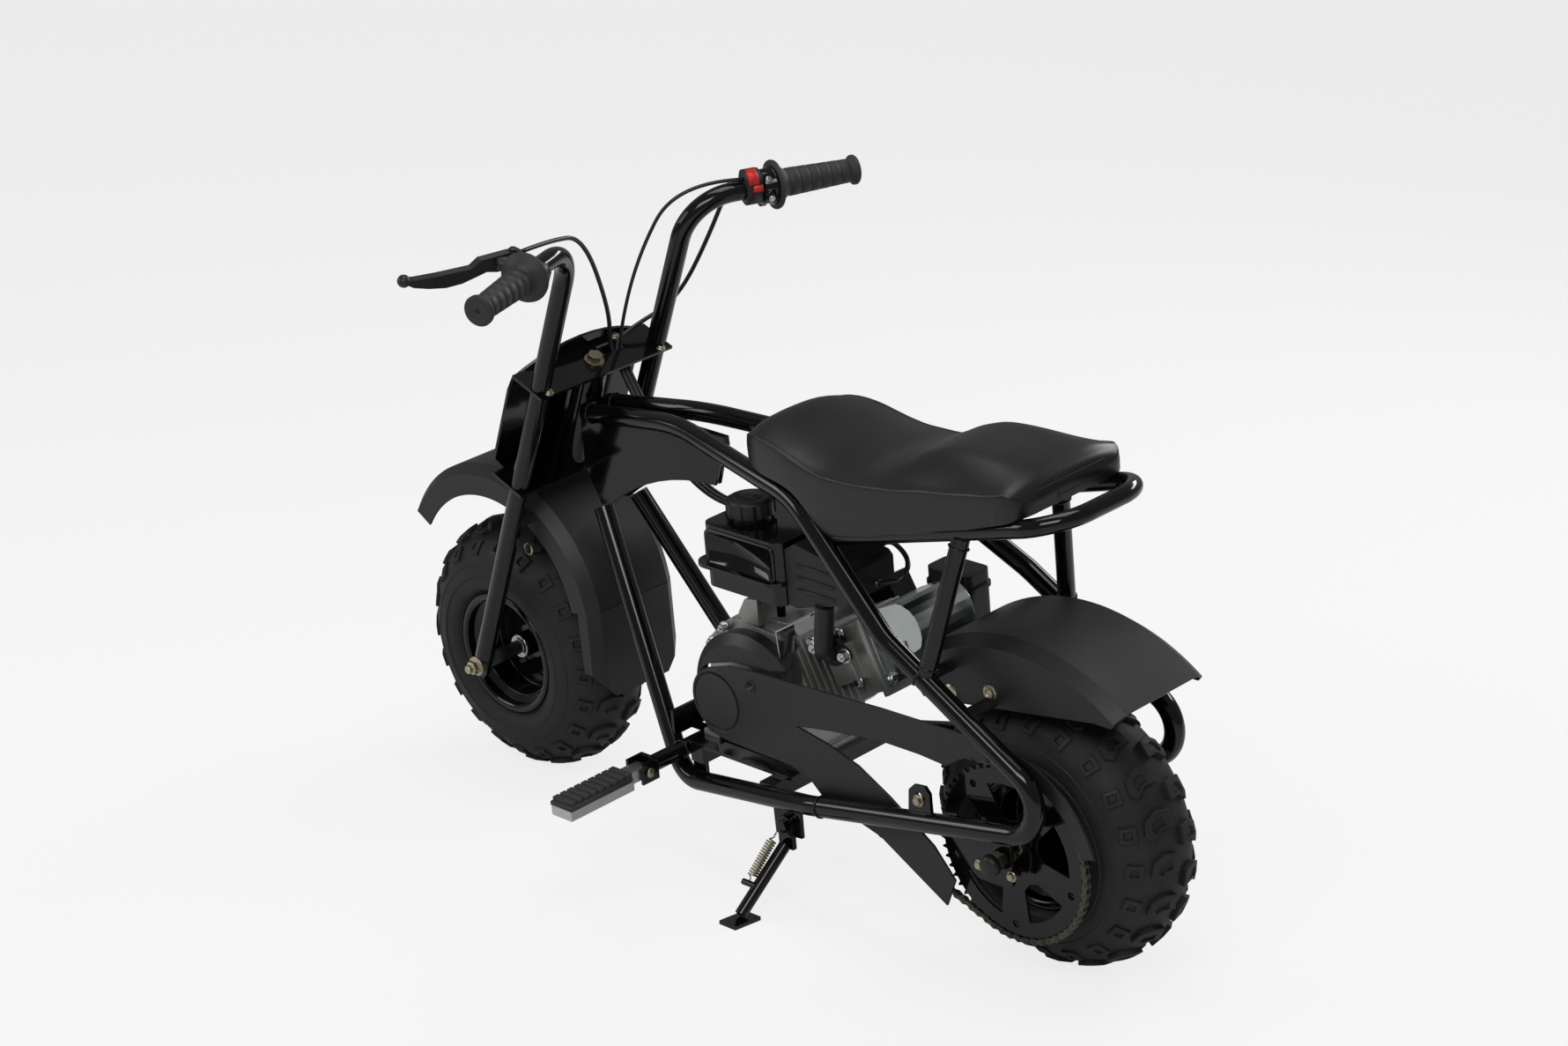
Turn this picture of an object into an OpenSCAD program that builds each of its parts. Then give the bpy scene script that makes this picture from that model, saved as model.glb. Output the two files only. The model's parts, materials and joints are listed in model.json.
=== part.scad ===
// Small off-road minibike, leaning on its side stand.
// Built upright (X forward, Y to the rider's left, Z up, rear axle above X = 0)
// and then leaned to the left about the line where the tyres touch the floor.

/* [Stance] */
// Distance between the two axles
wheelbase = 936; // [900:1:980]
// Lean to the left on the side stand, in degrees
lean = 6.5; // [5:0.1:8]
// Rake of the steering axis from the vertical, in degrees
rake = 23; // [20:0.5:26]
// Distance the steering axis runs in front of the fork legs
stem_lead = 10; // [6:1:14]

/* [Wheels] */
// Outer diameter of a tyre over its lugs
tyre_d = 355; // [345:1:360]
// Width of a tyre across its shoulders
tyre_w = 146; // [135:1:150]
// Height of the tread lugs
lug_h = 7; // [4:0.5:9]
// Number of lugs round each row of the tread
lug_n = 20; // [16:1:24]
// Diameter of the rim over its flanges
rim_d = 176; // [168:1:180]
// Width of the rim over its flanges
rim_w = 122; // [112:1:126]
// Length of a wheel hub over its bearings
hub_w = 68; // [60:1:76]
// Diameter of the axle bolts
axle_d = 12; // [10:0.5:14]

/* [Frame tubes] */
// Outer diameter of the main frame tubes
tube_d = 25.4; // [22:0.1:27]
// Outer diameter of the struts, the seat rail and the footpeg bar
strut_d = 22; // [19:0.5:24]
// Distance of the side tubes from the centre plane
side_y = 127; // [123:1:131]
// Bend radius of the loops behind the rear axle
loop_r = 44; // [40:1:48]

/* [Fork and handlebar] */
// Outer diameter of the fork and handlebar tube
fork_d = 25.4; // [22:0.1:27]
// Distance of the fork legs from the centre plane
leg_y = 101; // [98:1:104]
// Height of the handlebar bend along the legs
bar_rise = 690; // [660:1:720]
// Distance of the grip ends from the centre plane
grip_end_y = 322; // [300:1:340]
// Sweep of the grips to the rear, in degrees
bar_sweep = 18.8; // [10:0.2:24]
// Upward tilt of the grips against the fork, in degrees
bar_tilt = 6; // [0:0.5:10]
// Length of a grip
grip_len = 118; // [105:1:125]
// Diameter of a grip
grip_d = 31; // [28:0.5:34]

/* [Drive] */
// Pitch radius of the rear sprocket
sprocket_r = 112; // [108:0.5:116]
// Pitch radius of the clutch sprocket
pinion_r = 16; // [14:0.5:22]
// Distance of the chain from the centre plane
chain_y = 96; // [94:0.5:98]
// Forward place of the crankshaft
crank_x = 466; // [460:1:472]
// Height of the crankshaft
crank_z = 253; // [248:1:258]

/* [Seat and fenders] */
// Thickness of the fender shells
shell_t = 3; // [2.5:0.1:4]
// Half width of the rear fender
rear_fender_y = 80; // [78:0.5:84]
// Half width of the front fender
front_fender_y = 76; // [75:0.5:79]
// Half width of the seat at its rear
seat_y = 101; // [98:1:106]

/* [Hidden] */
$fn = 48;
wheel_r = tyre_d / 2;
crown_r = 78;                     // radius of the tread across the tyre
tube_r = tube_d / 2;
strut_r = strut_d / 2;
fork_r = fork_d / 2;
weld_gap = 0.1;                   // clearance of a welded tube round its neighbour
seat_gap = 0.3;                   // clearance of parts that rest on each other
foot_y = 222;                     // where the stand's foot meets the floor
foot_x = 352;

// Vectors and curves
function unit(v) = v / norm(v);
function arc(cx, cy, r, a0, a1, n) =
    [for (i = [0:n]) let (a = a0 + (a1 - a0) * i / n) [cx + r * cos(a), cy + r * sin(a)]];
function flip(pts) = [for (i = [len(pts) - 1:-1:0]) pts[i]];
// Outline moved inwards by d; the points run anticlockwise
function inset(pts, d) = [for (i = [0:len(pts) - 1]) let (
        n = len(pts),
        e0 = unit(pts[i] - pts[(i + n - 1) % n]),
        e1 = unit(pts[(i + 1) % n] - pts[i]),
        n0 = [-e0[1], e0[0]],
        n1 = [-e1[1], e1[0]])
    pts[i] + (n0 + n1) * d / (1 + n0 * n1)];
// Half turn at a corner of a bent tube, and how far its elbow reaches
function turn(p, i) = acos(unit(p[i] - p[i - 1]) * unit(p[i + 1] - p[i]));
function reach(p, r, i) = (i == 0 || i == len(p) - 1) ? 0 : r[i] * tan(turn(p, i) / 2);

// Straight bar of radius r from a to b
module bar(a, b, r) {
    d = b - a;
    translate(a) rotate([0, acos(d[2] / norm(d)), atan2(d[1], d[0])])
        cylinder(r = r, h = norm(d));
}

// One elbow: starts at s, its start direction t0 turns into t1 on radius rr.
// It is a hair fatter than the straight tubes that run into its ends.
elbow_swell = 0.05;
bar_overlap = 1;
module elbow(s, t0, t1, rr, r) {
    side = unit(t1 - (t1 * t0) * t0);
    e1 = -side;
    n = cross(e1, t0);
    translate(s + side * rr)
        rotate([atan2(t0[2], n[2]), asin(-e1[2]), atan2(e1[1], e1[0])])
            rotate_extrude(angle = acos(t0 * t1), $fn = 96)
                translate([rr, 0]) circle(r = r + elbow_swell);
}

// Bent tube through the corners p, rounded on the radii rr
module bent_tube(p, rr, r) {
    for (i = [0:len(p) - 2]) {
        d = unit(p[i + 1] - p[i]);
        a = i == 0 ? 0 : reach(p, rr, i) - bar_overlap;
        b = i == len(p) - 2 ? 0 : reach(p, rr, i + 1) - bar_overlap;
        bar(p[i] + d * a, p[i + 1] - d * b, r);
    }
    for (i = [1:len(p) - 2]) {
        d0 = unit(p[i] - p[i - 1]);
        d1 = unit(p[i + 1] - p[i]);
        elbow(p[i] - d0 * reach(p, rr, i), d0, d1, rr[i], r);
    }
}

module both_sides() {
    children();
    mirror([0, 1, 0]) children();
}
// Flat plate drawn in X and Z, from y0 to y1
module side_plate(pts, y0, y1) {
    translate([0, y1, 0]) rotate([90, 0, 0]) linear_extrude(y1 - y0) polygon(pts);
}
module disc(x, z, r, y0, y1) {
    translate([x, y1, z]) rotate([90, 0, 0]) cylinder(r = r, h = y1 - y0);
}

// Places
grip_reach = grip_end_y - leg_y;
grip_dir = [-sin(bar_sweep), cos(bar_sweep), 0] * cos(bar_tilt) + [0, 0, sin(bar_tilt)];
axis_x = wheelbase + stem_lead * cos(rake);
axis_z = wheel_r + stem_lead * sin(rake);
module in_fork() {
    translate([axis_x, 0, axis_z]) rotate([0, -rake, 0]) children();
}
function fork_pt(q) = [axis_x + q[0] * cos(rake) - q[2] * sin(rake), q[1],
    axis_z + q[0] * sin(rake) + q[2] * cos(rake)];
grip_end = [-stem_lead, leg_y, bar_rise] + grip_dir * grip_reach / grip_dir[1];
peg_bar_x = 562;
peg_bar_z = 153;
peg_tip_y = 303;
lever_ball = [30, 335, 688];      // in the fork's frame
lever_ball_r = 8;
left_most = fork_pt(lever_ball)[1] * cos(lean) + fork_pt(lever_ball)[2] * sin(lean) + lever_ball_r;
right_most = -peg_tip_y * cos(lean) + (peg_bar_z - 12) * sin(lean);
origin_x = wheelbase / 2;
origin_y = (left_most + right_most) / 2;
ground_lift = crown_r * (1 - cos(lean));

module on_stand() {
    translate([-origin_x, -origin_y, ground_lift]) rotate([-lean, 0, 0]) children();
}

// Frame
top_tube_p = [[axis_x - 181, 20, axis_z + 365], [590, 26, 568], [330, 84, 546], [152, side_y, 423],
    [98, side_y, 390.5]];
top_tube_rr = [0, 300, 110, 90, 0];
loop_p = [[98, side_y, 390.5], [-145, side_y, 243.6], [282, side_y, 166.5]];
loop_rr = [0, loop_r, 0];
low_tube_p = [[282, side_y, 166.5], [300, side_y, 163.2], [562, 94, 113],
    [axis_x - 207, 31, axis_z + 242.6]];
low_tube_rr = [0, 90, 46, 0];
rail_p = [[296, 86, 505], [-86, 86, 605], [-86, -86, 605], [296, -86, 505]];
rail_rr = [0, 58, 58, 0];

module upper_tube() { bent_tube(top_tube_p, top_tube_rr, tube_r); }
module lower_tube() { bent_tube(low_tube_p, low_tube_rr, tube_r); }
module rear_loop() { bent_tube(loop_p, loop_rr, tube_r); }

head_lo = 308;
head_hi = 461;
head_r = 20;
stem_r = 8;
plate_gap = 0.5;

module neck() {
    color([0.05, 0.05, 0.06]) difference() {
        union() {
            in_fork() translate([0, 0, head_lo]) cylinder(r = head_r, h = head_hi - head_lo);
            both_sides() translate([776, gusset_y, 0]) rotate([0, 0, 3.4]) translate([-776, 0, 0])
                side_plate(gusset_outline(), 0, 4);
        }
        in_fork() translate([0, 0, head_lo - 1])
            cylinder(r = stem_r + 0.05, h = head_hi - head_lo + 2);
        both_sides() {
            bent_tube(top_tube_p, top_tube_rr, tube_r + weld_gap);
            bent_tube(low_tube_p, low_tube_rr, tube_r + weld_gap);
        }
    }
}
gusset_y = 15;
function gusset_outline() = concat([[axis_x - 167, axis_z + 371], [axis_x - 165, axis_z + 289],
        [axis_x - 189, axis_z + 238], [axis_x - 204, axis_z + 243]],
    arc(560, 205, 282, 51, 92, 8), [[532, 538], [527, 544], [528, 556]]);

module upper_tubes() {
    color([0.05, 0.05, 0.06]) both_sides() difference() {
        upper_tube();
        in_fork() translate([0, 0, 200]) cylinder(r = head_r + weld_gap, h = 400);
    }
}

module rear_loops() {
    color([0.05, 0.05, 0.06]) both_sides() rear_loop();
}

module lower_tubes() {
    color([0.05, 0.05, 0.06]) both_sides() lower_tube();
}

module seat_frame() {
    color([0.05, 0.05, 0.06]) {
        difference() {
            union() {
                bent_tube(rail_p, rail_rr, strut_r);
                both_sides() bar([92, side_y, 388], [58, 87, 560], strut_r);
            }
            both_sides() {
                bent_tube(top_tube_p, top_tube_rr, tube_r + weld_gap);
                bent_tube(loop_p, loop_rr, tube_r + weld_gap);
            }
        }
    }
}

module footpeg_bar() {
    color([0.05, 0.05, 0.06]) {
        difference() {
            bar([peg_bar_x, -peg_bar_y, peg_bar_z], [peg_bar_x, peg_bar_y, peg_bar_z], strut_r);
            both_sides() bent_tube(low_tube_p, low_tube_rr, tube_r + weld_gap);
        }
        both_sides() peg_fork();
    }
}
peg_bar_y = 150;
peg_pin_y = 166;
peg_pin_r = 4;
peg_ear = 4;
peg_half = 10.5;                  // half width of the footpeg's tongue
peg_slot = peg_half + 0.5;
module peg_fork() {
    difference() {
        translate([peg_bar_x - peg_slot - peg_ear, peg_bar_y - 0.5, peg_bar_z - 14])
            cube([2 * (peg_slot + peg_ear), 28, 28]);
        translate([peg_bar_x - peg_slot, peg_bar_y + peg_ear, peg_bar_z - 20])
            cube([2 * peg_slot, 40, 40]);
    }
    translate([peg_bar_x - peg_slot - 2, peg_pin_y, peg_bar_z]) rotate([0, 90, 0])
        cylinder(r = peg_pin_r, h = 2 * (peg_slot + 2));
}

// Height and place of the lower tube's centre line along its straight rear stretch
function low_z(x) = 163.2 - (x - 300) * 50.2 / 262;
function low_y(x) = side_y - (x - 300) * 33 / 262;
plate_z = 162;                    // underside of the engine plate
plate_t = 5;
module engine_mount() {
    color([0.05, 0.05, 0.06]) difference() {
        union() {
            translate([368, -92, plate_z]) cube([185, 184, plate_t]);
            translate([378, -low_y(389), plate_z - 22]) cube([22, 2 * low_y(389), 22.5]);
            translate([526, -92, plate_z - 22]) cube([22, 184, 22.5]);
            both_sides() translate([526, low_y(537) - 14, low_z(537)])
                cube([22, 6, plate_z - low_z(537) + 0.5]);
            translate([577, -90, 166]) cube([5, 180, 34]);
            for (y = [-60, 52]) translate([548.4, y, 165.5]) cube([29.6, 8, 8]);
        }
        both_sides() bent_tube(low_tube_p, low_tube_rr, tube_r + weld_gap);
    }
}

bracket_y0 = 118;                 // inner and outer face of the brackets under the tubes
bracket_y1 = 123;
module axle_brackets() {
    color([0.05, 0.05, 0.06]) both_sides() difference() {
        side_plate([[-22, 152], [-16, 146], [30, 146], [40, 152], [62, 206], [-22, 222]],
            bracket_y0, bracket_y1);
        disc(0, wheel_r, axle_d / 2 + 0.05, 100, 140);
        bent_tube(loop_p, loop_rr, tube_r + weld_gap);
    }
    color([0.05, 0.05, 0.06]) difference() {
        side_plate([[96, 200], [134, 192], [130, 236], [122, 244], [104, 246], [97, 238]], 124, 129);
        bent_tube(loop_p, loop_rr, tube_r + weld_gap);
        for (z = [222, 232]) disc(114, z, 4.5, 120, 132);
        side_plate([[109.5, 222], [118.5, 222], [118.5, 232], [109.5, 232]], 120, 132);
    }
}

stand_x = 347;
stand_z = 123;
stand_bolt_r = 5;
module stand_bracket() {
    color([0.05, 0.05, 0.06]) {
        difference() {
            side_plate([[325, 108], [370, 104], [372, 158], [325, 162]], bracket_y0, bracket_y1);
            bent_tube(low_tube_p, low_tube_rr, tube_r + weld_gap);
        }
        disc(stand_x, stand_z, stand_bolt_r, bracket_y1 - 1, 132);
        disc(stand_x, stand_z, 8.5, 130.6, 136, $fn = 6);
    }
}

// Seat
module seat() {
    color([0.06, 0.06, 0.07]) {
        intersection() {
            side_plate(seat_side(), -120, 120);
            translate([0, 0, 400]) linear_extrude(300) polygon(seat_plan());
        }
        both_sides() side_plate([[-12, 597], [262, 520], [262, 545], [-12, 610]],
            rail_y + strut_r + seat_gap, seat_y - 1);
    }
}
rail_y = 86;
function seat_side() = concat(
    [[-38, 604.1], [225, 535.2], [290, 538], [332, 566], [425, 572]],
    arc(418, 594, 22, -60, 60, 4),
    arc(385, 540, 80, 65, 115, 5),
    [[300, 601], [230, 598], [170, 608]],
    arc(70, 560, 82, 75, 95, 3),
    [[0, 648], [-22, 646], [-38, 622]]);
function seat_plan() = concat(
    arc(400, 40, 40, 0, 80, 5),
    [[380, 88], [330, 94], [200, 98], [0, seat_y]],
    arc(-13, 76, 25, 90, 180, 4),
    arc(-13, -76, 25, 180, 270, 4),
    [[0, -seat_y], [200, -98], [330, -94], [380, -88]],
    arc(400, -40, 40, -80, 0, 5));

// Fenders
module rear_fender() {
    color([0.12, 0.12, 0.13]) difference() {
        union() {
            difference() {
                fender_arc(0, wheel_r, wheel_r + 84.5, rear_fender_y, 48, 127, 92);
                translate([0, 0, wheel_r]) side_plate(rear_skirt_cut(), -100, 100);
            }
            both_sides() {
                translate([88, rear_fender_y - 2, 384]) cube([20, side_y - rear_fender_y, 4]);
                translate([25, rear_fender_y - 2, 354]) cube([20, side_y - rear_fender_y, 4]);
            }
        }
        both_sides() bent_tube(loop_p, loop_rr, tube_r + seat_gap);
        both_sides() upper_tube_end();
    }
}
function rear_skirt_cut() = [[-200, 194], [-120, 194], [90, 163], [200, 152], [-60, -78],
    [-300, 122]];
// Straight rear end of the upper tube, as a cutter
module upper_tube_end() {
    bar(top_tube_p[4], top_tube_p[4] + (top_tube_p[3] - top_tube_p[4]) * 0.6, tube_r + seat_gap);
}
// U-shaped shell round an axis at x, z from angle a0 to a1
module fender_arc(x, z, r, half, a0, a1, deep) {
    translate([x, 0, z]) rotate([90, 0, 0]) rotate([0, 0, a0])
        rotate_extrude(angle = a1 - a0, $fn = 96) polygon([
            [r - deep, -half], [r - 12, -half], [r, -half + 16], [r, half - 16], [r - 12, half],
            [r - deep, half], [r - deep, half - shell_t], [r - 13, half - shell_t],
            [r - shell_t, half - 17], [r - shell_t, -half + 17], [r - 13, -half + shell_t],
            [r - deep, -half + shell_t]]);
}

// Channel section of the fender's straight rear, seen from above
function channel(half, deep) = [[1.4, 15.6 - half], [13, -half], [deep, -half], [deep, 2.6 - half],
    [14, 2.6 - half], [4.6, 16.4 - half], [4.6, half - 16.4], [14, half - 2.6], [deep, half - 2.6],
    [deep, half], [13, half], [1.4, half - 15.6]];
front_arc_x = wheelbase - 16;
front_arc_z = wheel_r + 84.5;
front_arc_r = wheel_r + 12.5;
module front_fender() {
    color([0.12, 0.12, 0.13]) difference() {
        union() {
            fender_arc(front_arc_x, front_arc_z, front_arc_r, front_fender_y, 33, 172, 40);
            translate([front_arc_x - front_arc_r, 0, wheel_r - 14]) difference() {
                linear_extrude(124) polygon(channel(front_fender_y - 0.3, 30));
                translate([0, 0, 14]) side_plate([[20, -15], [60, -15], [60, 100], [31, 100], [27, -2]],
                    -100, 100);
                both_sides() rotate([90, 0, 90]) translate([front_fender_y, 0, -1]) linear_extrude(60)
                    polygon([[-30, -1], [1, -1], [1, 38]]);
            }
            both_sides() in_fork() translate([leg_u - 12, front_fender_y - 3, 243])
                cube([24, leg_y - front_fender_y, 14]);
        }
        in_fork() translate([-100, -150, head_lo - 6]) cube([200, 300, 100]);
        both_sides() in_fork() translate([leg_u, leg_y, 0]) cylinder(r = fork_r + seat_gap, h = 400);
    }
}

// Chain drive
chain_h = 8.6;
guard_y0 = 80;
guard_y1 = 113.5;                 // outer face, just inside the frame tubes
guard_t = 3;
dome_x = 426;                     // round cover behind the guard's flat face
dome_z = 255;
module chain_guard() {
    color([0.12, 0.12, 0.13]) difference() {
        union() {
            side_plate(guard_outline(), guard_y1 - 9, guard_y1);
            intersection() {
                side_plate(guard_outline(), guard_y0, guard_y1);
                side_plate([[-70, 306], [60, 306], [200, 304], [330, 296], [392, 320], [480, 400],
                    [-70, 400]], guard_y0, guard_y1);
            }
            difference() {
                dome(0);
                side_plate([[300, 100], [600, 100], [600, 240], [500, 209], [300, 201]], 0, 200);
            }
        }
        side_plate(inset(guard_outline(), guard_t), 70, guard_y1 - guard_t);
        difference() {
            dome(guard_t);
            side_plate([[300, 100], [600, 100], [600, 240], [500, 212], [300, 204]], 0, 200);
        }
        disc(crank_x + 0.7, crank_z, 39, guard_y1 - 1.2, guard_y1 + 5);
        disc(404, 290, 7, 90, 120);
    }
}
// Round cover of the clutch, moved inwards by d
module dome(d) {
    disc(dome_x, dome_z, 93 - d, guard_y0 - (d > 0 ? 10 : 0), guard_y1 - 17 - d);
    translate([dome_x, guard_y1 - 17.01 - d, dome_z]) rotate([-90, 0, 0])
        cylinder(r1 = 93 - d, r2 = 80 - d, h = 10);
}
function guard_outline() = concat(
    [[crank_x + 19, crank_z - 45.5], [crank_x - 12, crank_z - 50], [404.7, 201.2], [325.7, 199.7],
        [314.4, 192.1], [291, 171], [198, 146], [95, 85], [79, 123], [111, 160], [178, 205],
        [227, 232], [276, 247], [330, 257], [275, 266], [186, 277], [124, 277]],
    arc(0, wheel_r, 126, 50, 164, 10),
    arc(0, wheel_r, 146, 164, 86, 8),
    [[60, 323], [182, 321], [330, 314], [395, 312], [440, 308]],
    arc(crank_x - 3, crank_z, 46, 70, -55, 10));

module chain() {
    color([0.25, 0.25, 0.26]) difference() {
        side_plate(chain_outline(chain_h / 2), chain_y - 4, chain_y + 4);
        side_plate(chain_outline(-chain_h / 2), chain_y - 5, chain_y + 5);
    }
}
drive_len = norm([crank_x, crank_z - wheel_r]);
drive_up = atan2(crank_z - wheel_r, crank_x);
drive_taper = asin((sprocket_r - pinion_r) / drive_len);
function chain_outline(d) = concat(
    arc(0, wheel_r, sprocket_r + d, drive_up + 90 - drive_taper, drive_up + 270 + drive_taper, 60),
    arc(crank_x, crank_z, pinion_r + d, drive_up - 90 + drive_taper, drive_up + 90 - drive_taper,
        16));

module clutch() {
    color([0.45, 0.45, 0.46]) {
        disc(crank_x, crank_z, pinion_r - chain_h / 2 - seat_gap, case_y + seat_gap, 102);
        disc(crank_x, crank_z, 38, 101.5, 109.5);
    }
}

// Engine
case_y = 62;                      // outer face of the crankcase on the drive side
case_z = plate_z + plate_t;       // the crankcase stands on the engine plate
barrel_lean = 65;                 // lean of the barrel to the rear
barrel_x = crank_x - 114 * sin(barrel_lean);
barrel_z = crank_z + 114 * cos(barrel_lean);
module on_barrel() {
    translate([barrel_x, 0, barrel_z]) rotate([0, -barrel_lean, 0]) children();
}
module crankcase() {
    color([0.6, 0.6, 0.62]) {
        side_plate(case_outline(), -62, 44);
        disc(crank_x, crank_z, 66, 43, case_y - 6);
        disc(crank_x, crank_z, 24, 50, case_y);
        side_plate([[400, 178], [530, 178], [536, 300], [510, 322], [482, 340], [404, 330]], 43, 52);
        side_plate([[440, 340], [470, 340], [474, 352], [462, 372], [440, 376]], 10, 56);
        for (x = [376, 520]) translate([x, -70, case_z]) cube([28, 136, 8]);
        for (p = [[524, 300], [500, 326], [528, 200], [410, 190]]) disc(p[0], p[1], 6, 51, 58);
    }
}
function case_outline() = [[383, case_z], [548, case_z], [548, 292], [518, 322], [486, 343],
    [400, 350], [372, 330], [383, 290]];
fin_n = 7;
fin_pitch = 13;
module engine_cylinder() {
    color([0.62, 0.62, 0.64]) difference() {
        union() on_barrel() {
            translate([-52, -56, -14]) cube([92, 108, 8]);
            translate([-38, -42, -14]) cube([68, 84, 139]);
            for (i = [0:fin_n - 1]) translate([-54, -58, i * fin_pitch]) cube([96, 118, 4]);
            translate([-50, -52, fin_n * fin_pitch]) cube([88, 106, 34]);
            translate([-28, 50, fin_n * fin_pitch - 34]) cube([48, 16, 40]);
            translate([-56, -58, fin_n * fin_pitch + 34]) cube([100, 118, 7]);
        }
        side_plate(inset(case_outline(), -0.4), -66, 66);
    }
}
cover_z = fin_n * fin_pitch + 41.4;   // the valve cover sits on the head's flange
module heat_shields() {
    color([0.75, 0.76, 0.78]) on_barrel() {
        translate([0, 0, cover_z]) {
            side_plate([[-46, 0], [46, 0], [46, 5], [-46, 5]], -54, 56);
            side_plate(concat([[-36, 4]], arc(-4, 24, 32, 200, 140, 4), arc(14, 48, 36, 130, 20, 7),
                [[48, 24], [40, 4]]), -46, 48);
        }
    }
    color([0.75, 0.76, 0.78]) shield();
}
// Folded heat shield between the exhaust pipe and the tank
module shield() {
    side_plate([[374, 364], [340, 384], [310, 402], [310, 400], [340, 382], [372.4, 362.4],
        [369, 330], [371, 330]], 60.5, 92);
}
tank_y0 = -60;
tank_y1 = 100;
tank_top = 486;
tank_post = 12;
module fuel_tank() {
    color([0.04, 0.04, 0.05]) {
        rounded_block([348, tank_y0, 404], [134, tank_y1 - tank_y0, tank_top - 404], 16);
        rounded_block([348, tank_y0 - 9, 430], [146, tank_y1 - tank_y0 + 18, 5], 20);
        for (y = [0, 34]) translate([420, y, 352.3]) cylinder(r = tank_post / 2, h = 60);
    }
}
// Upright block with rounded vertical corners
module rounded_block(at, size, r) {
    translate(at) {
        translate([r, 0, 0]) cube([size[0] - 2 * r, size[1], size[2]]);
        translate([0, r, 0]) cube([size[0], size[1] - 2 * r, size[2]]);
        for (x = [r, size[0] - r], y = [r, size[1] - r]) translate([x, y, 0])
            cylinder(r = r, h = size[2]);
    }
}
module tank_cap() {
    color([0.03, 0.03, 0.03]) translate([440, 52, tank_top + 0.3]) {
        cylinder(r = 24, h = 7);
        difference() {
            translate([0, 0, 6]) cylinder(r = 31, h = 18);
            for (i = [0:11]) rotate([0, 0, i * 30]) translate([34, 0, 5]) cylinder(r = 5.5, h = 30);
        }
    }
}
module fan_shroud() {
    color([0.05, 0.05, 0.05]) {
        disc(crank_x, crank_z, 84, -108, -62.3);
        disc(crank_x, crank_z, 60, -122, -107);
        disc(crank_x, crank_z, 20, -126, -121);
        side_plate([[380, 300], [420, 300], [420, 345], [330, 392], [312, 360]], -100, -62.3);
    }
}
module air_filter() {
    color([0.04, 0.04, 0.04]) {
        rounded_block([190, -104, 352], [70, 46, 72], 12);
        rounded_block([187, -106, 402], [76, 50, 5], 14);
    }
}
module muffler() {
    color([0.05, 0.05, 0.05]) {
        side_plate([[244, 432], [262, 424], [336, 404], [347.7, 406], [347.7, 478], [330, 489],
            [250, 474], [244, 468]], 10, 90);
        bent_tube([[301, 66.5, 349], [301, 84, 349], [292, 84, 416]], [0, 13, 0], 12);
        side_plate(concat(arc(301, 349, 20, 40, 140, 5), [[272, 356]], arc(278, 349, 9, 140, 230, 3),
            arc(301, 349, 20, 220, 320, 5), arc(324, 349, 9, -40, 40, 3)), 66.4, 71);
    }
}
module carburettor() {
    color([0.5, 0.5, 0.52]) {
        disc(290, 356, 16, -92, -58.4);
        translate([263.4, -92, 346]) cube([28, 26, 22]);
        translate([282, -78, 322]) cylinder(r = 17, h = 30);
    }
}

// Axles and brake
carrier_r = 30;
disc_y = 94;
module rear_axle() {
    color([0.5, 0.5, 0.5]) {
        disc(0, wheel_r, axle_d / 2, -144, 130);
        disc(0, wheel_r, 11, bracket_y1 + 0.2, 132, $fn = 6);
        disc(0, wheel_r, 11, -132, -bracket_y1 - 0.2, $fn = 6);
        disc(0, wheel_r, 10, chain_y + 4, bracket_y0 - 0.2);
        disc(0, wheel_r, 10, -bracket_y0 + 0.2, -disc_y - 6);
    }
}
module brake_caliper() {
    color([0.08, 0.08, 0.08]) difference() {
        union() {
            side_plate([[54, 182], [96, 182], [104, 236], [58, 240]], -112, -84);
            translate([70, -side_y, 226]) cube([20, 20, 12]);
        }
        disc(0, wheel_r, 84, -disc_y - 5, -disc_y + 1);
        mirror([0, 1, 0]) bent_tube(loop_p, loop_rr, tube_r + seat_gap);
    }
}
module brake_disc() {
    color([0.6, 0.6, 0.6]) difference() {
        union() {
            disc(0, wheel_r, 80, -disc_y - 3.5, -disc_y);
            disc(0, wheel_r, carrier_r, -disc_y - 4, -hub_w / 2 - 0.3);
        }
        disc(0, wheel_r, axle_d / 2 + 0.3, -120, 0);
    }
}

// Cables
module frame_cables() {
    color([0.03, 0.03, 0.03]) {
        for (i = [0:2]) bent_tube([for (q = cable_run) q + cable_side * i], cable_run_rr, 3);
        bar(cable_run[0], cable_run[0] + 2 * cable_side, 2);
        bar(cable_run[4] + [5.3, -1.4, 0], cable_run[4] + [5.3, -1.4, 0] + 2 * cable_side, 2.1);
    }
}
cable_side = [0, -6.4, 0];
cable_run = [[758, -38, 592], [726, -40, 530], [640, -46, 440], [560, -60, 425], [483.1, -40, 425]];
cable_run_rr = [0, 60, 60, 40, 0];
cable_hole = [12, -44];           // where the cables pass the yoke's top plate
module bar_cables() {
    color([0.03, 0.03, 0.03]) in_fork() {
        bent_tube(brake_cable_p, [0, 60, 34, 60, 0], 3);
        bent_tube(throttle_cable_p, [0, 30, 40, 12, 0], 3);
        bent_tube(switch_cable_p, [0, 40, 60, 0], 3);
        bar(brake_cable_p[4] + [0, 0, 6], switch_cable_p[3] + [0, 0, 6], 2);
    }
}
brake_cable_p = [[-3, 179.4, 700], [14, 112, 684], [20, 48, 665], [14, -24, 530], [12, -38, 468]];
throttle_cable_p = [[-15, -165.4, 697.8], [-2, -168, 610], [14, -152, 500], [16, -80, 482],
    [12, -45, 468]];
switch_cable_p = [[-33.2, -168.9, 715], [10, -92, 708], [14, -54, 600], [12, -52, 468]];

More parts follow.
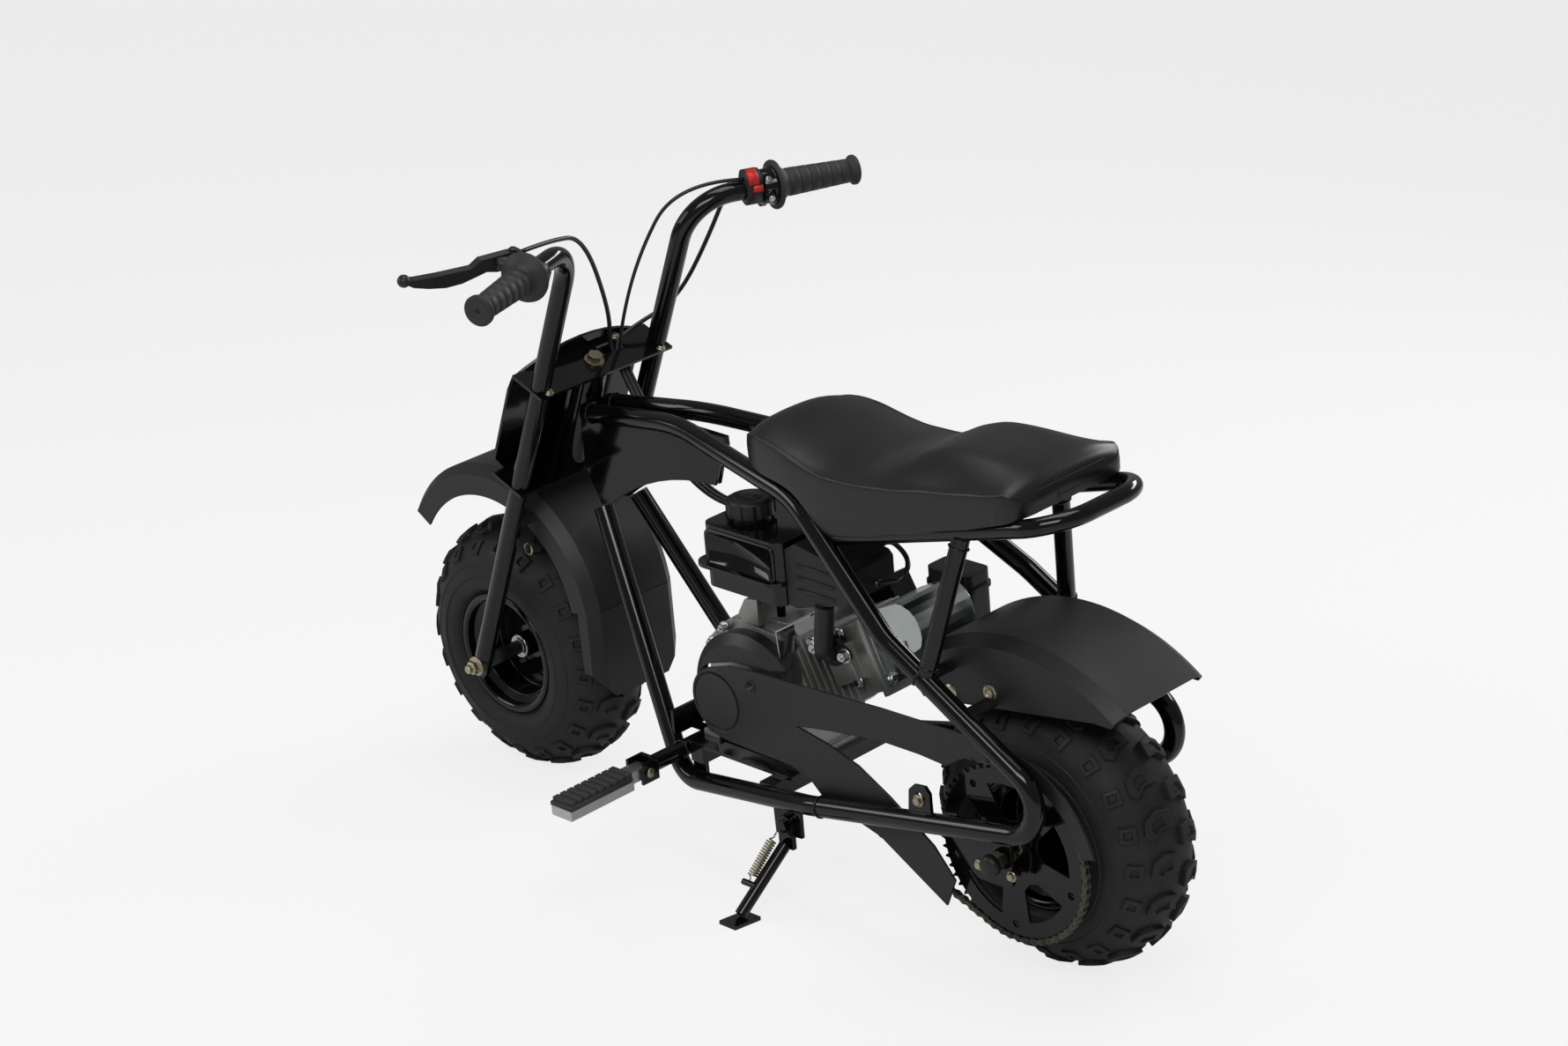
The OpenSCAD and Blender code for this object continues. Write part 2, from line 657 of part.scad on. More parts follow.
// Fork, in the fork's own upright frame: X forward, Z up the steering axis
leg_u = -stem_lead;
grip_corner = [leg_u, leg_y, bar_rise];
function leg_path() = [[leg_u, leg_y, -6], grip_corner, grip_end - 2 * grip_dir];
module fork_leg() {
    difference() {
        union() {
            bent_tube(leg_path(), [0, 66, 0], fork_r);
            translate([leg_u - 13, leg_y - 3.5, -8]) cube([26, 7, 30]);
            translate([leg_u, leg_y + 3.5, -8]) rotate([90, 0, 0]) cylinder(r = 13, h = 7);
        }
        translate([leg_u, leg_y + 20, 0]) rotate([90, 0, 0]) cylinder(r = axle_d / 2 + 0.05, h = 40);
        translate([leg_u - 20, leg_y + 3.5, -30]) cube([40, 20, 44]);
        translate([leg_u - 20, leg_y - 23.5, -30]) cube([40, 20, 44]);
    }
}
module fork_left() { color([0.05, 0.05, 0.06]) in_fork() fork_leg(); }
module fork_right() { color([0.05, 0.05, 0.06]) in_fork() mirror([0, 1, 0]) fork_leg(); }

yoke_half = 115;
yoke_front = 33;
yoke_back = 27;
module fork_yoke() {
    color([0.05, 0.05, 0.06]) in_fork() difference() {
        union() {
            translate([yoke_front - 4, 0, 0]) rotate([90, 0, 90]) linear_extrude(4)
                polygon(yoke_panel());
            for (z = [head_lo - plate_gap - 4, head_hi + plate_gap])
                translate([-yoke_back, -yoke_half, z])
                    cube([yoke_front + yoke_back - 3.9, 2 * yoke_half, 4]);
        }
        for (s = [1, -1]) translate([leg_u, s * leg_y, 200])
            cylinder(r = fork_r + weld_gap, h = 400);
        translate([0, 0, 200]) cylinder(r = stem_r + 0.2, h = 400);
        translate([cable_hole[0] - 8, cable_hole[1] - 16, head_hi]) cube([18, 38, 10]);
    }
}
function yoke_panel() = concat([[-92, 304], [92, 304], [yoke_half, 330], [yoke_half, 440]],
    arc(0, 250, 236, 62, 118, 10), [[-yoke_half, 440], [-yoke_half, 330]]);

module steering_stem() {
    color([0.7, 0.65, 0.4]) in_fork() {
        translate([0, 0, 296]) cylinder(r = stem_r, h = 178);
        translate([0, 0, head_hi + plate_gap + 4.1]) cylinder(r = 13, h = 3);
        translate([0, 0, head_hi + plate_gap + 7]) cylinder(r = 10, h = 8, $fn = 6);
        translate([0, 0, head_lo - plate_gap - 12.1]) cylinder(r = 11, h = 8);
    }
}
module front_axle() {
    color([0.7, 0.65, 0.4]) {
        disc(wheelbase, wheel_r, axle_d / 2, -113, 113);
        for (s = [0, 1]) mirror([0, s, 0]) {
            disc(wheelbase, wheel_r, 11, leg_y + 3.7, leg_y + 12);
            disc(wheelbase, wheel_r, 9, hub_w / 2 + 1, leg_y - 3.7);
        }
    }
}
module grips() {
    color([0.1, 0.1, 0.1]) in_fork() both_sides() {
        difference() {
            union() {
                bar(grip_end - grip_dir * grip_len, grip_end, grip_d / 2);
                bar(grip_end - grip_dir * grip_len, grip_end - grip_dir * (grip_len - 6), 32);
                bar(grip_end - grip_dir * 5, grip_end, grip_d / 2 + 4);
            }
            bar(grip_end - grip_dir * 200, grip_end - grip_dir * 1.5, fork_r + 0.2);
        }
    }
}
module brake_lever() {
    color([0.05, 0.05, 0.05]) in_fork() {
        p0 = grip_end - grip_dir * (grip_len + 22);
        difference() {
            union() {
                bar(p0, p0 + grip_dir * 18, fork_r + 4);
                bar(p0 + grip_dir * 9, lever_pivot, 8);
            }
            bar(p0 - grip_dir * 20, p0 + grip_dir * 40, fork_r + 0.2);
        }
        translate(lever_pivot) rotate([0, 0, lever_turn]) {
            rotate([90, 0, 0]) linear_extrude(9, center = true) polygon(lever_outline());
            translate([-1, 0, 2]) cylinder(r = 8, h = 18, center = true);
        }
        translate(lever_ball) sphere(r = lever_ball_r);
    }
}
lever_pivot = [-1, 190, 693];
lever_turn = atan2(lever_ball[1] - lever_pivot[1], lever_ball[0] - lever_pivot[0]);
// Side outline of the blade, from the pivot towards the ball
function lever_outline() = [[-4, -8], [20, -14], [36, -11], [50, -16], [68, -22], [90, -24],
    [114, -20.5], [135, -15], [146, -8.5], [146, -2.5], [135, -4], [103, -4], [58, -2], [48, 8],
    [8, 12], [-6, 8]];
module throttle_housing() {
    color([0.06, 0.06, 0.06]) in_fork() mirror([0, 1, 0]) {
        p0 = grip_end - grip_dir * (grip_len + 42);
        difference() {
            bar(p0, p0 + grip_dir * 40, 22);
            bar(p0 - grip_dir * 20, p0 + grip_dir * 60, fork_r + 0.2);
        }
    }
}

// Wheels
crown_c = wheel_r - crown_r;      // centre of the crown's arc, from the axle
bead_r = rim_d / 2 - 8;
function carcass_half() = concat(
    arc(crown_c, 0, crown_r - lug_h, 0, 80, 12),
    [[rim_d / 2 + 7, rim_w / 2 + 5], [rim_d / 2 + 1, rim_w / 2 + 1],
        [rim_d / 2 + 1, rim_w / 2 - 3], [bead_r, rim_w / 2 - 3]]);
// Ring that the lugs are cut from, on one side of the tyre
function tread_ring() = concat(arc(crown_c, 0, crown_r, 3, 68, 10),
    arc(crown_c, 0, crown_r - lug_h - 1, 68, 3, 10));
module tyre(x) {
    half = carcass_half();
    color([0.09, 0.09, 0.09]) translate([x, 0, wheel_r]) rotate([90, 0, 0]) {
        rotate_extrude($fn = 96) polygon(concat(flip([for (q = half) [q[0], -q[1]]]), half));
        for (s = [0, 1]) mirror([0, 0, s]) intersection() {
            rotate_extrude($fn = 96) polygon(tread_ring());
            for (i = [0:lug_n - 1]) rotate([0, 0, (i + s / 2) * 360 / lug_n - 90])
                translate([crown_c, 2, 0]) rotate([14, 0, 0]) translate([0, -8, -4])
                    cube([crown_r + 5, 16, 90]);
        }
    }
}
module front_tyre() { tyre(wheelbase); }
module rear_tyre() { tyre(0); }
module rim(x) {
    translate([x, 0, wheel_r]) rotate([90, 0, 0]) difference() {
        rotate_extrude($fn = 96) polygon(rim_section());
        translate([0, 0, -100]) cylinder(r = axle_d / 2 + 0.3, h = 200);
    }
}
function rim_section() = let (r = rim_d / 2, w = rim_w / 2) concat(
    [[0, -hub_w / 2], [17, -hub_w / 2], [17, -14], [24, -14], [24, -2], [r - 24, -2]],
    rim_half(r, -w, -1),
    flip(rim_half(r, w, 1)),
    [[r - 24, 2], [24, 2], [24, 14], [17, 14], [17, hub_w / 2], [0, hub_w / 2]]);
// Well, bead seat and flange on one side; s is 1 or -1
function rim_half(r, w, s) = [[r - 22, w - 18 * s], [r - 12, w - 12 * s], [r - 12, w], [r, w],
    [r, w - 2.5 * s], [r - 8.5, w - 2.5 * s], [r - 8.5, w - 15 * s], [r - 18, w - 20 * s]];
module front_rim() { color([0.05, 0.05, 0.06]) rim(wheelbase); }
module rear_rim() { color([0.05, 0.05, 0.06]) rim(0); }
window_n = 5;
module sprocket() {
    r = sprocket_r - chain_h / 2 - 0.5;
    color([0.05, 0.05, 0.06]) difference() {
        union() {
            disc(0, wheel_r, r, chain_y - 1.5, chain_y + 1.5);
            disc(0, wheel_r, carrier_r, hub_w / 2 + 0.3, chain_y + 3);
            for (i = [0:2]) turned(i * 120 + 20) disc(24, 0, 5, chain_y, chain_y + 7, $fn = 6);
        }
        disc(0, wheel_r, axle_d / 2 + 0.3, 0, 120);
        for (i = [0:window_n - 1]) turned(i * 360 / window_n + 18) side_plate(window_outline(), 90, 102);
        for (i = [0:window_n - 1]) turned(i * 360 / window_n + 54) disc(r - 14, 0, 5, 90, 102);
    }
}
// Turned about the rear axle
module turned(a) {
    translate([0, 0, wheel_r]) rotate([0, -a, 0]) children();
}
function window_outline() = concat(arc(0, 0, 88, -22, 22, 5), [[46, 13], [42, 0], [46, -13]]);

// Stand and footpegs
eye_y0 = 123.6;
eye_y1 = 130;
module stand_leg() {
    color([0.05, 0.05, 0.06]) {
        difference() {
            union() {
                disc(stand_x, stand_z, 13, eye_y0, eye_y1);
                side_plate([[stand_x - 12, stand_z], [stand_x - 12, 92], [stand_x + 12, 92],
                    [stand_x + 12, stand_z]], eye_y0, eye_y1);
                bar([stand_x, 132, 97], [foot_x, foot_y - 10, foot_y * tan(lean) + 8], 8);
                translate([stand_x + 2, 185, 62]) rotate([0, 90, 0]) cylinder(r = 4, h = 22);
            }
            disc(stand_x, stand_z, stand_bolt_r + 0.05, 100, 140);
        }
        translate([foot_x, foot_y, foot_y * tan(lean)]) rotate([lean, 0, 0])
            translate([-14, -30, -ground_lift / cos(lean)]) cube([28, 44, 5]);
    }
}
peg_w = 36;
module footpeg() {
    color([0.7, 0.7, 0.72]) {
        difference() {
            union() {
                translate([peg_bar_x - peg_half, peg_pin_y, peg_bar_z - 8])
                    cube([2 * peg_half, 32, 16]);
                translate([peg_bar_x - peg_half, peg_pin_y, peg_bar_z]) rotate([0, 90, 0])
                    cylinder(r = 8, h = 2 * peg_half);
            }
            translate([peg_bar_x - 20, peg_pin_y, peg_bar_z]) rotate([0, 90, 0])
                cylinder(r = peg_pin_r + 0.05, h = 40);
        }
        side_plate([[peg_bar_x - peg_w / 2, peg_bar_z - 12], [peg_bar_x + peg_w / 2, peg_bar_z - 12],
            [peg_bar_x + peg_w / 2, peg_bar_z + 4], [peg_bar_x - peg_w / 2, peg_bar_z + 4]],
            peg_pin_y + 30, peg_tip_y);
        for (i = [0:8]) translate([peg_bar_x - peg_w / 2 + 2, peg_pin_y + 32 + i * 11.8, peg_bar_z + 3])
            cube([peg_w - 4, 7, 9]);
    }
}
module footpeg_left() { footpeg(); }
module footpeg_right() { mirror([0, 1, 0]) footpeg(); }

on_stand() neck();
on_stand() upper_tubes();
on_stand() rear_loops();
on_stand() lower_tubes();
on_stand() seat_frame();
on_stand() footpeg_bar();
on_stand() engine_mount();
on_stand() axle_brackets();
on_stand() stand_bracket();
on_stand() seat();
on_stand() rear_fender();
on_stand() chain_guard();
on_stand() chain();
on_stand() crankcase();
on_stand() engine_cylinder();
on_stand() heat_shields();
on_stand() fuel_tank();
on_stand() tank_cap();
on_stand() fan_shroud();
on_stand() air_filter();
on_stand() muffler();
on_stand() carburettor();
on_stand() clutch();
on_stand() rear_axle();
on_stand() brake_caliper();
on_stand() frame_cables();
on_stand() fork_left();
on_stand() fork_right();
on_stand() fork_yoke();
on_stand() steering_stem();
on_stand() front_axle();
on_stand() front_fender();
on_stand() grips();
on_stand() brake_lever();
on_stand() throttle_housing();
on_stand() bar_cables();
on_stand() front_tyre();
on_stand() front_rim();
on_stand() rear_tyre();
on_stand() rear_rim();
on_stand() sprocket();
on_stand() brake_disc();
on_stand() stand_leg();
on_stand() footpeg_left();
on_stand() footpeg_right();
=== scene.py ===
"""Looks of the minibike: materials, tyres, seat, cables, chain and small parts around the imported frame."""

import json
import math

import bmesh
import bpy
from mathutils import Matrix, Vector


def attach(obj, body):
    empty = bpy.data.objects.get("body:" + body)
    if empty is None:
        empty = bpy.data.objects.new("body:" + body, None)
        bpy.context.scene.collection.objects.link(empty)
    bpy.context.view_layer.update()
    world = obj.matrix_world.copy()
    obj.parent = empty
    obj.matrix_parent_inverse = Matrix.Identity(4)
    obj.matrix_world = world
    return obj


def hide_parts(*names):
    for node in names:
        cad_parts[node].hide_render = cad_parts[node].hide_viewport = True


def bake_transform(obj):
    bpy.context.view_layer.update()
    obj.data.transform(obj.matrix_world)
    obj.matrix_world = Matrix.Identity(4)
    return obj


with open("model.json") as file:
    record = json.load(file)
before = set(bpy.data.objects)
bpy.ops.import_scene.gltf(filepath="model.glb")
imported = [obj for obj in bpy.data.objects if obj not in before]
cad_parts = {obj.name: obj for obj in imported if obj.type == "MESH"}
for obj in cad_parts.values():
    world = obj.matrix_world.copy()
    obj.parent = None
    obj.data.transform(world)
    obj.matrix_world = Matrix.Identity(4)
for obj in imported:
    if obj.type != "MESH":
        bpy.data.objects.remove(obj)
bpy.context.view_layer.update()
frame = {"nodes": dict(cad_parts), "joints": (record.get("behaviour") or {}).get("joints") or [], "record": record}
NODES = frame["nodes"]

# The bike's own upright frame: X forward, Y to the rider's left, Z up, millimetres, rear axle above X = 0.
# It leans to the left on its stand, and the row's origin is the centre of its footprint.
MM = 0.001
WHEELBASE = 936
WHEEL_R = 177.5
RAKE = math.radians(23)
STEM_LEAD = 10
SIDE_Y = 127
CRANK = (466, 253)
BARREL_LEAN = math.radians(65)
BARREL_FOOT = 114
COVER_UP = 132.4
GUARD_FACE = 113.5
TANK_FACE = 100
TANK_CAP = (440, 52, 510.2)
PEG_X, PEG_PIN_Y, PEG_Z = 562, 166, 153
BAR_BEND = (-STEM_LEAD, 101, 690)
BAR_SWEEP = math.radians(18.8)
BAR_TILT = math.radians(6)
GRIP_END_Y = 322
GRIP_LEN = 118
AXIS_X = WHEELBASE + STEM_LEAD * math.cos(RAKE)
AXIS_Z = WHEEL_R + STEM_LEAD * math.sin(RAKE)


def lean_from_frame():
    """The lean, read from the rear wheel's joint axis."""
    for joint in frame["joints"]:
        if joint["name"] == "rear_wheel_spin":
            return -math.asin(joint["axis"][2]), Vector(joint["pos_m"])
    raise ValueError("no rear wheel joint")


LEAN, REAR_HUB = lean_from_frame()
TO_ROW = (
    Matrix.Translation(REAR_HUB)
    @ Matrix.Rotation(-LEAN, 4, "X")
    @ Matrix.Scale(MM, 4)
    @ Matrix.Translation((0, 0, -WHEEL_R))
)
TO_FORK = TO_ROW @ Matrix.Translation((AXIS_X, 0, AXIS_Z)) @ Matrix.Rotation(-RAKE, 4, "Y")


def axle_frame(x, z=WHEEL_R):
    """A frame at x, z whose local Z runs along the bike's Y, for what is turned about an axle."""
    return TO_ROW @ Matrix.Translation((x, 0, z)) @ Matrix.Rotation(-math.pi / 2, 4, "X")


# Materials
def new_material(name):
    """A material with its tree and shader."""
    mat = bpy.data.materials.new(name)
    mat.use_nodes = True
    tree = mat.node_tree
    shader = tree.nodes["Principled BSDF"]
    return mat, tree, shader


def noise(tree, scale, detail=4.0, rough=0.5, source="Object"):
    """A noise texture in object space."""
    coords = tree.nodes.new("ShaderNodeTexCoord")
    tex = tree.nodes.new("ShaderNodeTexNoise")
    tex.inputs["Scale"].default_value = scale
    tex.inputs["Detail"].default_value = detail
    tex.inputs["Roughness"].default_value = rough
    tree.links.new(coords.outputs[source], tex.inputs["Vector"])
    return tex


def cells(tree, scale):
    """Distances to the edges of small cells, for a leather grain."""
    coords = tree.nodes.new("ShaderNodeTexCoord")
    tex = tree.nodes.new("ShaderNodeTexVoronoi")
    tex.feature = "DISTANCE_TO_EDGE"
    tex.inputs["Scale"].default_value = scale
    tree.links.new(coords.outputs["Object"], tex.inputs["Vector"])
    return tex


def ramp(tree, source, stops):
    """Colours spread over a value."""
    node = tree.nodes.new("ShaderNodeValToRGB")
    node.color_ramp.elements[0].position = stops[0][0]
    node.color_ramp.elements[0].color = (*stops[0][1], 1)
    node.color_ramp.elements[1].position = stops[-1][0]
    node.color_ramp.elements[1].color = (*stops[-1][1], 1)
    for position, colour in stops[1:-1]:
        node.color_ramp.elements.new(position).color = (*colour, 1)
    tree.links.new(source, node.inputs["Fac"])
    return node.outputs["Color"]


def spread(tree, source, low, high, start=0.3, end=0.7):
    """A value stretched to the range from low to high."""
    node = tree.nodes.new("ShaderNodeMapRange")
    node.inputs["From Min"].default_value = start
    node.inputs["From Max"].default_value = end
    node.inputs["To Min"].default_value = low
    node.inputs["To Max"].default_value = high
    tree.links.new(source, node.inputs["Value"])
    return node.outputs["Result"]


def bump(tree, shader, height, strength, distance, radius=0.0):
    """Bump on the shader, with edges rounded off by radius where it is given."""
    node = tree.nodes.new("ShaderNodeBump")
    node.inputs["Strength"].default_value = strength
    node.inputs["Distance"].default_value = distance
    tree.links.new(height, node.inputs["Height"])
    if radius:
        edge = tree.nodes.new("ShaderNodeBevel")
        edge.samples = 4
        edge.inputs["Radius"].default_value = radius
        tree.links.new(edge.outputs["Normal"], node.inputs["Normal"])
    tree.links.new(node.outputs["Normal"], shader.inputs["Normal"])


def finish_of(name, dark, light, rough, grain, strength, distance=0.0004, metallic=0.0, coat=0.0,
              specular=0.5, patch=7.0, edge=0.0):
    """A surface between two tones in soft patches, with a fine grain and a varying roughness."""
    mat, tree, shader = new_material(name)
    soft = noise(tree, patch, 3.0)
    tree.links.new(ramp(tree, soft.outputs["Fac"], [(0.3, dark), (0.7, light)]), shader.inputs["Base Color"])
    tree.links.new(spread(tree, soft.outputs["Fac"], rough[0], rough[1]), shader.inputs["Roughness"])
    shader.inputs["Metallic"].default_value = metallic
    shader.inputs["Coat Weight"].default_value = coat
    shader.inputs["Coat Roughness"].default_value = 0.04
    shader.inputs["Specular IOR Level"].default_value = specular
    bump(tree, shader, noise(tree, grain, 5.0).outputs["Fac"], strength, distance, edge)
    return mat


def vinyl():
    """Black seat cover with a fine leather grain."""
    mat, tree, shader = new_material("seat_vinyl")
    soft = noise(tree, 9.0, 4.0)
    tones = [(0.3, (0.006, 0.006, 0.007)), (0.75, (0.012, 0.012, 0.013))]
    tree.links.new(ramp(tree, soft.outputs["Fac"], tones), shader.inputs["Base Color"])
    tree.links.new(spread(tree, soft.outputs["Fac"], 0.3, 0.42), shader.inputs["Roughness"])
    shader.inputs["Specular IOR Level"].default_value = 0.45
    grain = cells(tree, 620.0)
    bump(tree, shader, grain.outputs["Distance"], 0.22, 0.0005)
    return mat


def tyre_rubber():
    """Matt rubber with dusty patches."""
    mat, tree, shader = new_material("tyre_rubber")
    soft = noise(tree, 14.0, 6.0, 0.6)
    colour = ramp(tree, soft.outputs["Fac"], [(0.32, (0.007, 0.0075, 0.0085)), (0.58, (0.013, 0.0135, 0.015)),
                                              (0.8, (0.034, 0.028, 0.022))])
    tree.links.new(colour, shader.inputs["Base Color"])
    tree.links.new(spread(tree, soft.outputs["Fac"], 0.5, 0.75), shader.inputs["Roughness"])
    shader.inputs["Specular IOR Level"].default_value = 0.4
    bump(tree, shader, noise(tree, 260.0, 6.0, 0.6).outputs["Fac"], 0.35, 0.0006)
    return mat


MATERIALS = {
    "gloss_black": finish_of("gloss_black", (0.002, 0.002, 0.0025), (0.004, 0.004, 0.0045), (0.08, 0.14),
                             900.0, 0.03, coat=0.25, specular=0.3, edge=0.0012),
    "charcoal_plastic": finish_of("charcoal_plastic", (0.01, 0.0105, 0.0115), (0.016, 0.0165, 0.018),
                                  (0.36, 0.48), 1400.0, 0.16, 0.0003, specular=0.4, edge=0.0015),
    "seat_vinyl": vinyl(),
    "grip_rubber": finish_of("grip_rubber", (0.016, 0.016, 0.017), (0.03, 0.03, 0.031), (0.55, 0.7),
                             700.0, 0.2),
    "tyre_rubber": tyre_rubber(),
    "cable_black": finish_of("cable_black", (0.006, 0.006, 0.006), (0.012, 0.012, 0.012), (0.3, 0.45),
                             500.0, 0.1),
    "cast_alloy": finish_of("cast_alloy", (0.3, 0.3, 0.29), (0.46, 0.46, 0.44), (0.38, 0.55), 420.0, 0.5,
                            0.0008, metallic=0.9, edge=0.002),
    "galvanised": finish_of("galvanised", (0.34, 0.38, 0.38), (0.6, 0.64, 0.63), (0.14, 0.24), 30.0, 0.1,
                            0.001, metallic=1.0, edge=0.001),
    "zinc_steel": finish_of("zinc_steel", (0.32, 0.29, 0.2), (0.5, 0.46, 0.34), (0.24, 0.38), 300.0, 0.2,
                            metallic=1.0, edge=0.0008),
    "chain_steel": finish_of("chain_steel", (0.05, 0.045, 0.04), (0.13, 0.12, 0.1), (0.3, 0.5), 300.0, 0.2,
                             metallic=1.0),
    "peg_alloy": finish_of("peg_alloy", (0.5, 0.5, 0.5), (0.62, 0.62, 0.61), (0.3, 0.42), 260.0, 0.2,
                           metallic=1.0, edge=0.0012),
    "dark_metal": finish_of("dark_metal", (0.01, 0.01, 0.01), (0.02, 0.019, 0.018), (0.4, 0.55), 200.0, 0.3,
                            metallic=0.3, edge=0.001),
    "bright_bolt": finish_of("bright_bolt", (0.45, 0.47, 0.48), (0.62, 0.64, 0.65), (0.2, 0.3), 300.0, 0.1,
                             metallic=1.0, edge=0.0006),
    "seat_thread": finish_of("seat_thread", (0.02, 0.018, 0.016), (0.05, 0.045, 0.04), (0.6, 0.7), 900.0,
                             0.2),
    "red_button": finish_of("red_button", (0.5, 0.012, 0.008), (0.6, 0.02, 0.012), (0.35, 0.45), 300.0, 0.1),
}


def dress_nodes():
    """Every CAD node takes its slot's material."""
    for part in frame["record"]["subparts"]:
        node = NODES[part["node"]]
        node.data.materials.clear()
        node.data.materials.append(MATERIALS[part["material_slot"]])


# Mesh helpers
def piece(name, verts, faces, material, body, where=TO_ROW, slot=None, smooth=True, replaced=()):
    """A mesh of points in millimetres in the frame where, riding on a body where one is given."""
    mesh = bpy.data.meshes.new(name)
    mesh.from_pydata([where @ Vector(v) for v in verts], [], faces)
    mesh.update()
    build = bmesh.new()
    build.from_mesh(mesh)
    bmesh.ops.recalc_face_normals(build, faces=build.faces)
    build.to_mesh(mesh)
    build.free()
    for face in mesh.polygons:
        face.use_smooth = smooth
    mesh.materials.append(MATERIALS[material])
    obj = bpy.data.objects.new(name, mesh)
    bpy.context.collection.objects.link(obj)
    if body:
        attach(obj, body)
    if replaced:
        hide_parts(*replaced)
    return obj


def grid_faces(rows, columns, wrap_rows=False, wrap_columns=True, start=0):
    """Quads between rows of points."""
    faces = []
    for i in range(rows if wrap_rows else rows - 1):
        for j in range(columns if wrap_columns else columns - 1):
            a, b = i * columns + j, i * columns + (j + 1) % columns
            c, d = (i + 1) % rows * columns + (j + 1) % columns, (i + 1) % rows * columns + j
            faces.append((start + a, start + b, start + c, start + d))
    return faces


class Shape:
    """Points and faces of several forms that become one piece."""

    def __init__(self):
        self.verts, self.faces = [], []

    def add(self, verts, faces):
        start = len(self.verts)
        self.verts += [Vector(v) for v in verts]
        self.faces += [tuple(start + i for i in face) for face in faces]

    def revolve(self, profile, steps, place=Matrix(), ends=True):
        """A profile of (radius, height) turned about the local Z of place."""
        verts = []
        for radius, height in profile:
            for i in range(steps):
                a = 2 * math.pi * i / steps
                verts.append(place @ Vector((radius * math.cos(a), radius * math.sin(a), height)))
        faces = grid_faces(len(profile), steps)
        if ends:
            last = (len(profile) - 1) * steps
            faces += [tuple(range(steps)), tuple(last + i for i in range(steps))]
        self.add(verts, faces)

    def sweep(self, path, radius, sides=16, ends=True):
        """A round tube along path; radius is one value or one for each point."""
        radii = radius if isinstance(radius, (list, tuple)) else [radius] * len(path)
        verts, ahead = [], None
        for i, point in enumerate(path):
            before, after = path[max(i - 1, 0)], path[min(i + 1, len(path) - 1)]
            tangent = (after - before).normalized()
            if ahead is None:
                ahead = tangent.orthogonal().normalized()
            ahead = (ahead - tangent * ahead.dot(tangent)).normalized()
            side = tangent.cross(ahead)
            for j in range(sides):
                a = 2 * math.pi * j / sides
                verts.append(point + radii[i] * (math.cos(a) * ahead + math.sin(a) * side))
        faces = grid_faces(len(path), sides)
        if ends:
            last = (len(path) - 1) * sides
            faces += [tuple(range(sides)), tuple(last + j for j in range(sides))]
        self.add(verts, faces)

    def prism(self, outline, low, high, place=Matrix(), bevel=0.0):
        """An outline in local X and Y between two heights, with its rims drawn in by bevel."""
        n = len(outline)
        centre = Vector((sum(p[0] for p in outline) / n, sum(p[1] for p in outline) / n))
        rings = [(low, 0), (high, 0)]
        if bevel:
            rings = [(low, bevel), (low + bevel, 0), (high - bevel, 0), (high, bevel)]
        verts = []
        for height, inwards in rings:
            for p in outline:
                out = Vector((p[0], p[1])) - centre
                out -= out.normalized() * inwards
                verts.append(place @ Vector((centre.x + out.x, centre.y + out.y, height)))
        faces = grid_faces(len(rings), n)
        last = (len(rings) - 1) * n
        faces += [tuple(range(n)), tuple(last + i for i in range(n))]
        self.add(verts, faces)

    def piece(self, name, material, body, where=TO_ROW, **more):
        return piece(name, self.verts, self.faces, material, body, where, **more)


# Tyres
CROWN_R = 78
LUG_H = 7
RIM_R = 88
RIM_HALF = 61
LUG_COUNT = 20
CROWN_C = WHEEL_R - CROWN_R


def tread_point(along, across, height):
    """A point of the tread: along in radians round the wheel, across in radians from the crown's middle."""
    reach = CROWN_C + (CROWN_R - LUG_H + height) * math.cos(across)
    side = (CROWN_R - LUG_H + height) * math.sin(across)
    return Vector((reach * math.cos(along), reach * math.sin(along), side))


def lug(shape, outline, hole, height):
    """A raised lug with a hollow: outline and hole are matching lists of (along, across) in degrees."""
    n = len(outline)
    rings = [(outline, -1.5), (outline, height - 0.8), (shrink(outline, 0.06), height), (hole, height),
             (shrink(hole, 0.2), height - 3.0)]
    verts = []
    for ring, lift in rings:
        verts += [tread_point(math.radians(a), math.radians(b), lift) for a, b in ring]
    faces = grid_faces(len(rings), n)
    faces.append(tuple((len(rings) - 1) * n + i for i in range(n)))
    shape.add(verts, faces)


def shrink(outline, share):
    """An outline drawn towards its middle."""
    ca = sum(p[0] for p in outline) / len(outline)
    cb = sum(p[1] for p in outline) / len(outline)
    return [(a + (ca - a) * share, b + (cb - b) * share) for a, b in outline]


CHEVRON = [(-2.0, 3), (5.2, 5), (6.4, 18), (3.6, 30), (-2.2, 33), (-5.0, 27), (-1.6, 17)]
SHOULDER = [(-4.2, 40), (3.0, 38), (4.6, 54), (-3.0, 57)]


